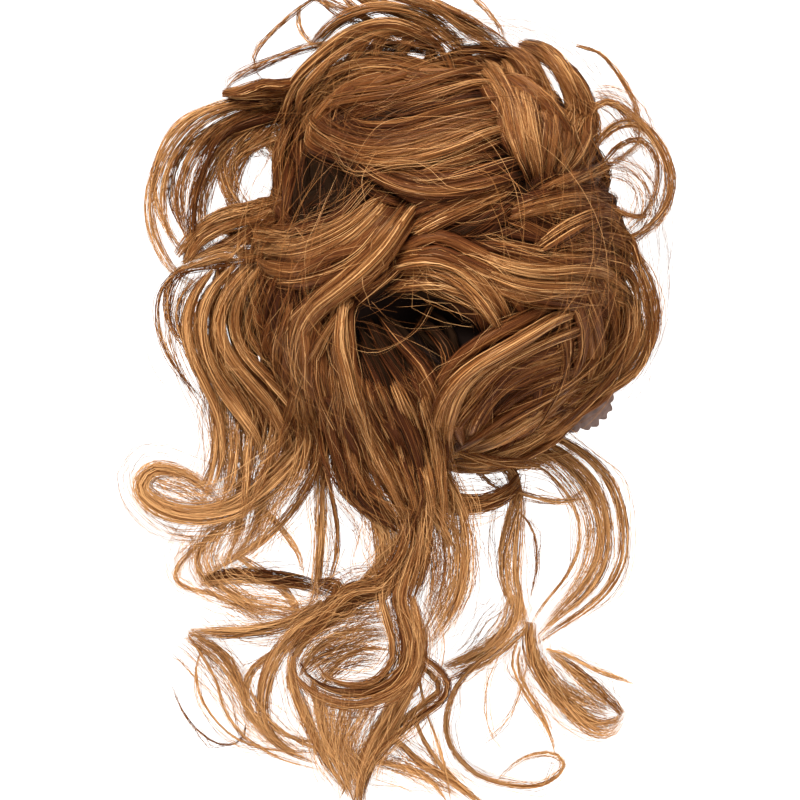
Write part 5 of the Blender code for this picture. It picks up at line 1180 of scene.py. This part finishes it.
def add_table(hair, rng, locks, roundness, on_bun):
    """Every lock of a table."""
    for lock in locks:
        kind = KINDS[lock.kind]
        knots = route_points(lock.route, on_bun)
        # A lock's shade holds its tone and painted light and shade; tendrils are painted lighter as light
        # through thin hair
        shade = 0.5 + SHADE_SPREAD * (lock.shade - 0.5) + (0 if on_bun else CURL_PAINTED_LIGHT)
        add_lock(hair, rng, knots, lock.width * MM, lock.thick * MM, shade,
                 kind._replace(on_bun=on_bun), roundness)


def add_fill(hair, rng, locks, roundness, furthest):
    """Copies beside and under the locks, painted darker as shade, so that the gaps show hair that flows
    along.

    They stay within a share of the bun's outline.
    """
    kind = KINDS["under"]
    for lock in locks:
        if lock.kind != "full":
            continue
        for sideways in (-1, 1):
            across, down, rise = np.array(lock.route, dtype=float).T
            tangent = unit(np.stack([np.gradient(across), np.gradient(down)], axis=-1))
            shift = sideways * lock.width * MM / PX * rng.uniform(*FILL_SHIFT)
            across = across + tangent[:, 1] * shift + rng.normal(0, FILL_STRAY, len(across))
            down = down - tangent[:, 0] * shift + rng.normal(0, FILL_STRAY, len(down))
            from_middle = np.stack([across - BUN_ACROSS, BUN_DOWN - down], axis=-1)
            reach = outline_radius(np.arctan2(from_middle[:, 1], from_middle[:, 0])) / PX
            pull = np.minimum(1, furthest * reach / np.hypot(*from_middle.T))
            across = BUN_ACROSS + from_middle[:, 0] * pull
            down = BUN_DOWN - from_middle[:, 1] * pull
            rise = np.maximum(rise - rng.uniform(*FILL_SINK), -1.0)
            knots = route_points(np.stack([across, down, rise], axis=1), True)
            # Painted shade: the copies are darker because they lie under their lock
            add_lock(hair, rng, knots, lock.width * MM * FILL_SIZE, lock.thick * MM * FILL_SIZE,
                     lock.shade - FILL_PAINTED_SHADE, kind, roundness)


def strayed_route(lock, rng, stray, lift):
    """A lock's route with its points moved at random in the view, and lifted."""
    across, down, rise = np.array(lock.route, dtype=float).T
    across, down = (way + rng.normal(0, stray, len(way)) for way in (across, down))
    return np.stack([across, down, rise + lift], axis=1)


def add_halo(hair, rng, locks, roundness):
    """Fine loose hairs that go along with the curls, well off their middle."""
    for lock in locks:
        knots = route_points(strayed_route(lock, rng, HALO_STRAY, 0), False)
        # Painted light: the halo is lighter, as light shines through thin hair
        width = (2.2 * lock.width + 2.0) * MM
        add_lock(hair, rng, knots, width, width * 0.6, lock.shade + HALO_PAINTED_LIGHT, KINDS["halo"],
                 roundness)


def add_fine_hairs(hair, rng, locks, roundness):
    """Single fine hairs that leave their lock and cross to its neighbours."""
    for lock in locks:
        if lock.kind != "full":
            continue
        knots = route_points(strayed_route(lock, rng, FINE_STRAY, FINE_LIFT), True)
        # Painted light: fine hairs are lighter, as light shines through thin hair
        width = (2.0 * lock.width + 2.0) * MM
        add_lock(hair, rng, knots, width, width * 0.3, lock.shade + FINE_PAINTED_LIGHT, KINDS["fine"],
                 roundness)


def wrap_knots(angle, layer, rng):
    """From the elastic outwards, over the rim and onto the bun's front."""
    turn = math.radians(rng.uniform(3, 9)) * (1 if layer else -1)
    lean = rng.uniform(-0.03, 0.03)
    root = np.array([math.cos(angle) * RIM_START, 4.0 - layer, math.sin(angle) * RIM_START]) * MM
    knots = [root]
    for step, (share, depth) in enumerate(RIM_STEPS, 1):
        around = angle + turn * step + rng.uniform(-0.03, 0.03)
        way = np.array([math.cos(around), 0, math.sin(around)])
        radius = float(outline_radius(np.array([around]))[0])
        place = np.array([BUN_X, 0, BUN_Z]) + way * radius * (share + lean + 0.012 * layer)
        if depth is None:
            place[1] = front_depth(place[:1], place[2:3])[0] - 1.5 * MM
        else:
            place[1] = (depth - 0.5 * layer + rng.uniform(-1.5, 1.5)) * MM
        knots.append(place)
    return knots


def make_wraps(rng, hair):
    """Two crossing layers of locks from the elastic over the rim."""
    for layer, count in enumerate(RIM_COUNTS):
        for index in range(count):
            angle = 2 * math.pi * (index + 0.5 * layer + rng.uniform(-0.2, 0.2)) / count
            add_lock(hair, rng, wrap_knots(angle, layer, rng), rng.uniform(6.5, 9.5) * MM,
                     4.0 * MM, rng.uniform(0.36, 0.50), KINDS["rim"], 0.9)


def bun_place(angle, share, lift):
    """A place on the bun's front by its direction from the middle and share of the outline."""
    radius = float(outline_radius(np.array([angle]))[0]) * share
    x, z = BUN_X + math.cos(angle) * radius, BUN_Z + math.sin(angle) * radius
    surface = np.array([x, float(front_depth(np.array([x]), np.array([z]))[0]), z])
    return surface + outward_at(surface[None], 0.9)[0] * lift


def make_under_locks(rng, hair):
    """Locks that swirl close on the bun's front, under all the others, painted dark as the shade there.
    """
    for index in range(UNDER_COUNT):
        angle = 2 * math.pi * index / UNDER_COUNT + rng.uniform(-0.1, 0.1)
        share = rng.uniform(0.40, 0.84)
        bend = rng.choice((-1, 1)) * rng.uniform(0.3, 0.7)
        knots = [bun_place(angle + bend * (step / 4 - 0.5),
                           min(0.93, share + 0.12 * math.sin(step * 1.3 + index)), 0.4 * MM)
                 for step in range(5)]
        # Their low shades are painted shade, under all the other locks
        width, shade = rng.uniform(6, 9) * MM, rng.uniform(0.24, 0.36)
        if min(math.hypot(knot[0] - POCKET_X, knot[2] - POCKET_Z) for knot in knots) < POCKET_CLEAR:
            continue
        add_lock(hair, rng, knots, width, 2.6 * MM, shade, KINDS["base"], 0.9)


def make_stray_hairs(rng, hair):
    """Single hairs that stand off the bun in wide arcs."""
    for _ in range(STRAY_HAIRS):
        angle = rng.uniform(0, 2 * math.pi)
        if math.sin(angle) < FALLS_BELOW:
            continue
        bend = rng.choice((-1, 1)) * rng.uniform(0.4, 1.5)
        rise = rng.uniform(1, 6) * MM
        first, last = np.clip(1.10 - rng.uniform(0, 1) ** 2 * 0.7 + rng.normal(0, 0.12, 2), 0.3, 1.12)
        knots = [bun_place(angle + bend * (step / 3 - 0.5), first + (last - first) * step / 3,
                           rise * math.sin(math.pi * step / 3) + 10 * MM)
                 + rng.normal(0, 0.9 * MM, 3) for step in range(4)]
        path = smooth_route(knots)
        share = np.linspace(0, 1, STRAY_POINTS)
        goal = np.linspace(0, 1, len(path))
        places = np.stack([np.interp(share, goal, path[:, axis]) for axis in range(3)], axis=1)
        tangent = unit(np.gradient(places, axis=0))
        breadth = unit(np.cross(tangent, outward_at(places, 0.5)))
        half = STRAND_HALF_WIDTH * rng.uniform(0.20, 0.46) * np.interp(
            share, (0, 0.2, 0.7, 1), (0.5, 1, 0.8, 0.25))
        edge = breadth * half[:, None]
        strip = np.stack([places - edge, places + edge], axis=1)[None]
        # Painted shade: the pockets' shade darkens these hairs strongly
        shades = rng.uniform(0.38, 0.70) - STRAY_PAINTED_SHADE * painted_pocket_shade(strip)
        hair.add(strip, shades, rng.uniform(0, 90, 3), closed=False)


def slipped_share(angle, spread):
    """1 where the loop has slipped out furthest, and 0 well away from there."""
    off = (angle - SLIPPED_ANGLE + math.pi) % (2 * math.pi) - math.pi
    return np.exp(-(off / spread) ** 2)


def elastic_point(angle):
    """The elastic's middle line, a circle pulled out where it shows."""
    radius = ELASTIC_LOOP_RADIUS + SLIPPED_OUT * slipped_share(angle, SLIPPED_SPREAD)
    return np.stack([radius * np.cos(angle), 0 * angle, radius * np.sin(angle)], axis=-1)


def ring_quads(rings, sides, closed):
    """Faces between rings of points, and from the last ring to the first where closed."""
    faces = []
    for ring in range(rings if closed else rings - 1):
        after = (ring + 1) % rings
        for side in range(sides):
            following = (side + 1) % sides
            faces.append((ring * sides + side, ring * sides + following,
                          after * sides + following, after * sides + side))
    return faces


def smooth_piece(name, places, faces, material):
    """A smooth mesh object from places and faces."""
    mesh = bpy.data.meshes.new(name)
    mesh.from_pydata(places.reshape(-1, 3).tolist(), [], faces)
    mesh.shade_smooth()
    mesh.materials.append(material)
    return linked(bpy.data.objects.new(name, mesh))


def make_elastic(material):
    """The gathered cloth sleeve: its girth rises and falls over narrow crooked folds."""
    rings = ELASTIC_FOLDS * RINGS_A_FOLD
    angle = 2 * math.pi * np.arange(rings) / rings
    angle = angle - FRILL_CROWDING * np.sin(angle - SLIPPED_ANGLE)
    middle = elastic_point(angle)
    tangent = unit(np.roll(middle, -1, axis=0) - np.roll(middle, 1, axis=0))
    back = np.array([0.0, 1.0, 0.0])
    inward = unit(np.cross(tangent, back))
    turn = 2 * math.pi * np.arange(SLEEVE_SIDES) / SLEEVE_SIDES
    crook = 0.9 * np.sin(3 * turn)[None] + 0.6 * np.sin(2 * turn + angle[:, None] * 7)
    fold = np.sin(ELASTIC_FOLDS * angle[:, None] + crook)
    swell = np.sin(angle * 11)[:, None]
    ridge = np.sin(5 * turn)[None]
    radius = ELASTIC_TUBE_RADIUS + FOLD_DEEP * fold + SWELL_DEEP * swell + RIDGE_DEEP * ridge
    outer = np.clip(0.35 - np.cos(turn), 0, 1)[None]
    lump = np.abs(np.sin(FRILL_FOLDS / 2 * angle[:, None] + 1.6 * crook)) + 0.35 * np.sin(
        0.37 * FRILL_FOLDS * angle[:, None] - 3 * crook)
    radius = radius + (slipped_share(angle, FRILL_SPREAD)[:, None] * outer
                       * (FRILL_HEIGHT + FRILL_DEEP * lump))
    places = (middle[:, None] + radius[..., None] * (
        inward[:, None] * np.cos(turn)[None, :, None] + back * np.sin(turn)[None, :, None]))
    return smooth_piece("elastic_sleeve", places, ring_quads(rings, SLEEVE_SIDES, True), material)


def make_body(material):
    """The inner body of the bun, under the locks, near black as painted shadow."""
    angle = 2 * math.pi * np.arange(BODY_SIDES) / BODY_SIDES
    way = np.stack([np.cos(angle), 0 * angle, np.sin(angle)], axis=-1)
    outline = np.array([BUN_X, 0, BUN_Z]) + way * outline_radius(angle)[:, None]
    middles = {"hollow": np.zeros(3), "pocket": np.array([POCKET_X, 0, POCKET_Z])}
    rings = []
    for ring in BODY_RINGS:
        inner = middles[ring.middle] + way * ring.reach * MM
        place = inner * (1 - ring.share) + outline * ring.share
        if ring.depth is None:
            place[:, 1] = front_depth(place[:, 0], place[:, 2]) + BODY_INSET
        else:
            place[:, 1] = ring.depth * MM
        rings.append(place)
    faces = ring_quads(len(rings), BODY_SIDES, False)
    faces.append(tuple(range(BODY_SIDES))[::-1])
    last = (len(rings) - 1) * BODY_SIDES
    faces.append(tuple(range(last, last + BODY_SIDES)))
    return smooth_piece("bun_core", np.vstack(rings), faces, material)


def add_area_light(light, target):
    """A square soft light turned to the target."""
    data = bpy.data.lights.new(light.name, "AREA")
    data.shape = "RECTANGLE"
    data.size = data.size_y = light.side
    data.energy = light.power
    lamp = bpy.data.objects.new(light.name, data)
    lamp.location = light.place
    way = Vector(target) - Vector(light.place)
    lamp.rotation_euler = way.to_track_quat("-Z", "Y").to_euler()
    linked(lamp)


def make_camera():
    """Camera at the photograph's angle."""
    data = bpy.data.cameras.new("camera")
    data.sensor_width = SENSOR_WIDTH
    data.lens = SENSOR_WIDTH * CAMERA_DISTANCE / (VIEW_PIXELS * PX)
    camera = bpy.data.objects.new("camera", data)
    camera.location = (VIEW_X, FOCUS_DEPTH - CAMERA_DISTANCE, VIEW_Z)
    camera.rotation_euler = (math.pi / 2, 0, 0)
    bpy.context.scene.camera = linked(camera)


def make_world():
    """Warm even light from all round."""
    world = bpy.data.worlds.new("world")
    world.use_nodes = True
    background = world.node_tree.nodes["Background"]
    background.inputs["Color"].default_value = ROUND_COLOUR
    background.inputs["Strength"].default_value = ROUND_LIGHT
    bpy.context.scene.world = world


def add_plane(name, size, place, turn, material):
    """A square plane of the stage."""
    bpy.ops.mesh.primitive_plane_add(size=size, location=place, rotation=turn)
    plane = bpy.context.object
    plane.name = name
    plane.data.materials.append(material)


def make_studio(lowest):
    """Camera, a lit backdrop, a pale floor far below and soft light."""
    bpy.context.scene.view_settings.view_transform = "Standard"
    make_camera()
    make_world()
    white = plain_material("lit_white", (1, 1, 1, 1), 1.0, 0.0)
    shader = white.node_tree.nodes["Principled BSDF"]
    shader.inputs["Emission Color"].default_value = (1, 1, 1, 1)
    shader.inputs["Emission Strength"].default_value = BACKDROP_LIGHT
    add_plane("backdrop", BACKDROP_SIZE, (VIEW_X, BACKDROP_DEPTH, VIEW_Z), (math.pi / 2, 0, 0), white)
    pale = plain_material("pale_floor", (0.86, 0.85, 0.84, 1), 0.7)
    add_plane("floor", FLOOR_SIZE, (0, FLOOR_DEPTH, lowest - FLOOR_DROP), (0, 0, 0), pale)
    for light in LIGHTS:
        add_area_light(light, (BUN_X, LIGHT_TARGET_DEPTH, 0))


def dress(piece, nodes):
    """Hides the parts that a piece replaces and hangs the piece on the root body."""
    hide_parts(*nodes)
    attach(piece, "root")


def main():
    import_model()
    cad_bounds = [list(corner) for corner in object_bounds()]
    make_studio(cad_bounds[0][2])
    hair = hair_material("hair")
    bun = ["bun_hair"]
    groups = (
        ("crown_locks", CROWN_LOCKS, True, 0.75, bun),
        ("upper_locks", UPPER_LOCKS, True, 0.8, bun),
        ("middle_locks", MIDDLE_LOCKS, True, 0.8, bun),
        ("lower_locks", LOWER_LOCKS, True, 0.75, bun),
        ("loose_loops", LOOSE_LOCKS, True, 0.4, bun),
        ("left_curls", LEFT_TENDRILS, False, 0.15, ["tendrils_left"]),
        ("centre_curls", CENTRE_TENDRILS, False, 0.15, ["tendrils_centre"]),
        ("right_curls", RIGHT_TENDRILS, False, 0.15, ["tendrils_right"]),
    )
    for seed, (name, table, on_bun, roundness, nodes) in enumerate(groups):
        strands = HairMesh()
        rng = np.random.default_rng(FIRST_SEED + seed)
        add_table(strands, rng, table, roundness, on_bun)
        if on_bun:
            add_fine_hairs(strands, rng, table, roundness)
        else:
            add_halo(strands, rng, table, roundness)
        dress(strands.piece(name, hair), nodes)
    fill = HairMesh()
    for table, furthest in ((UPPER_LOCKS, 0.95), (MIDDLE_LOCKS, 1.04), (LOWER_LOCKS, 1.30)):
        add_fill(fill, np.random.default_rng(7), table, 0.8, furthest)
    dress(fill.piece("fill_locks", hair), bun)
    for name, maker, seed in (("rim_locks", make_wraps, 1), ("under_locks", make_under_locks, 2),
                              ("stray_hairs", make_stray_hairs, 3)):
        strands = HairMesh()
        maker(np.random.default_rng(seed), strands)
        dress(strands.piece(name, hair), bun)
    # Near-black painted shadow for the body under the locks and in the pockets
    core = plain_material("hair_shadow", (0.012, 0.006, 0.004, 1), 0.9, 0.1)
    dress(make_body(core), bun)
    cloth = plain_material("gathered_cloth", (0.22, 0.15, 0.13, 1), 0.9)
    dress(make_elastic(cloth), ["elastic_band"])


main()
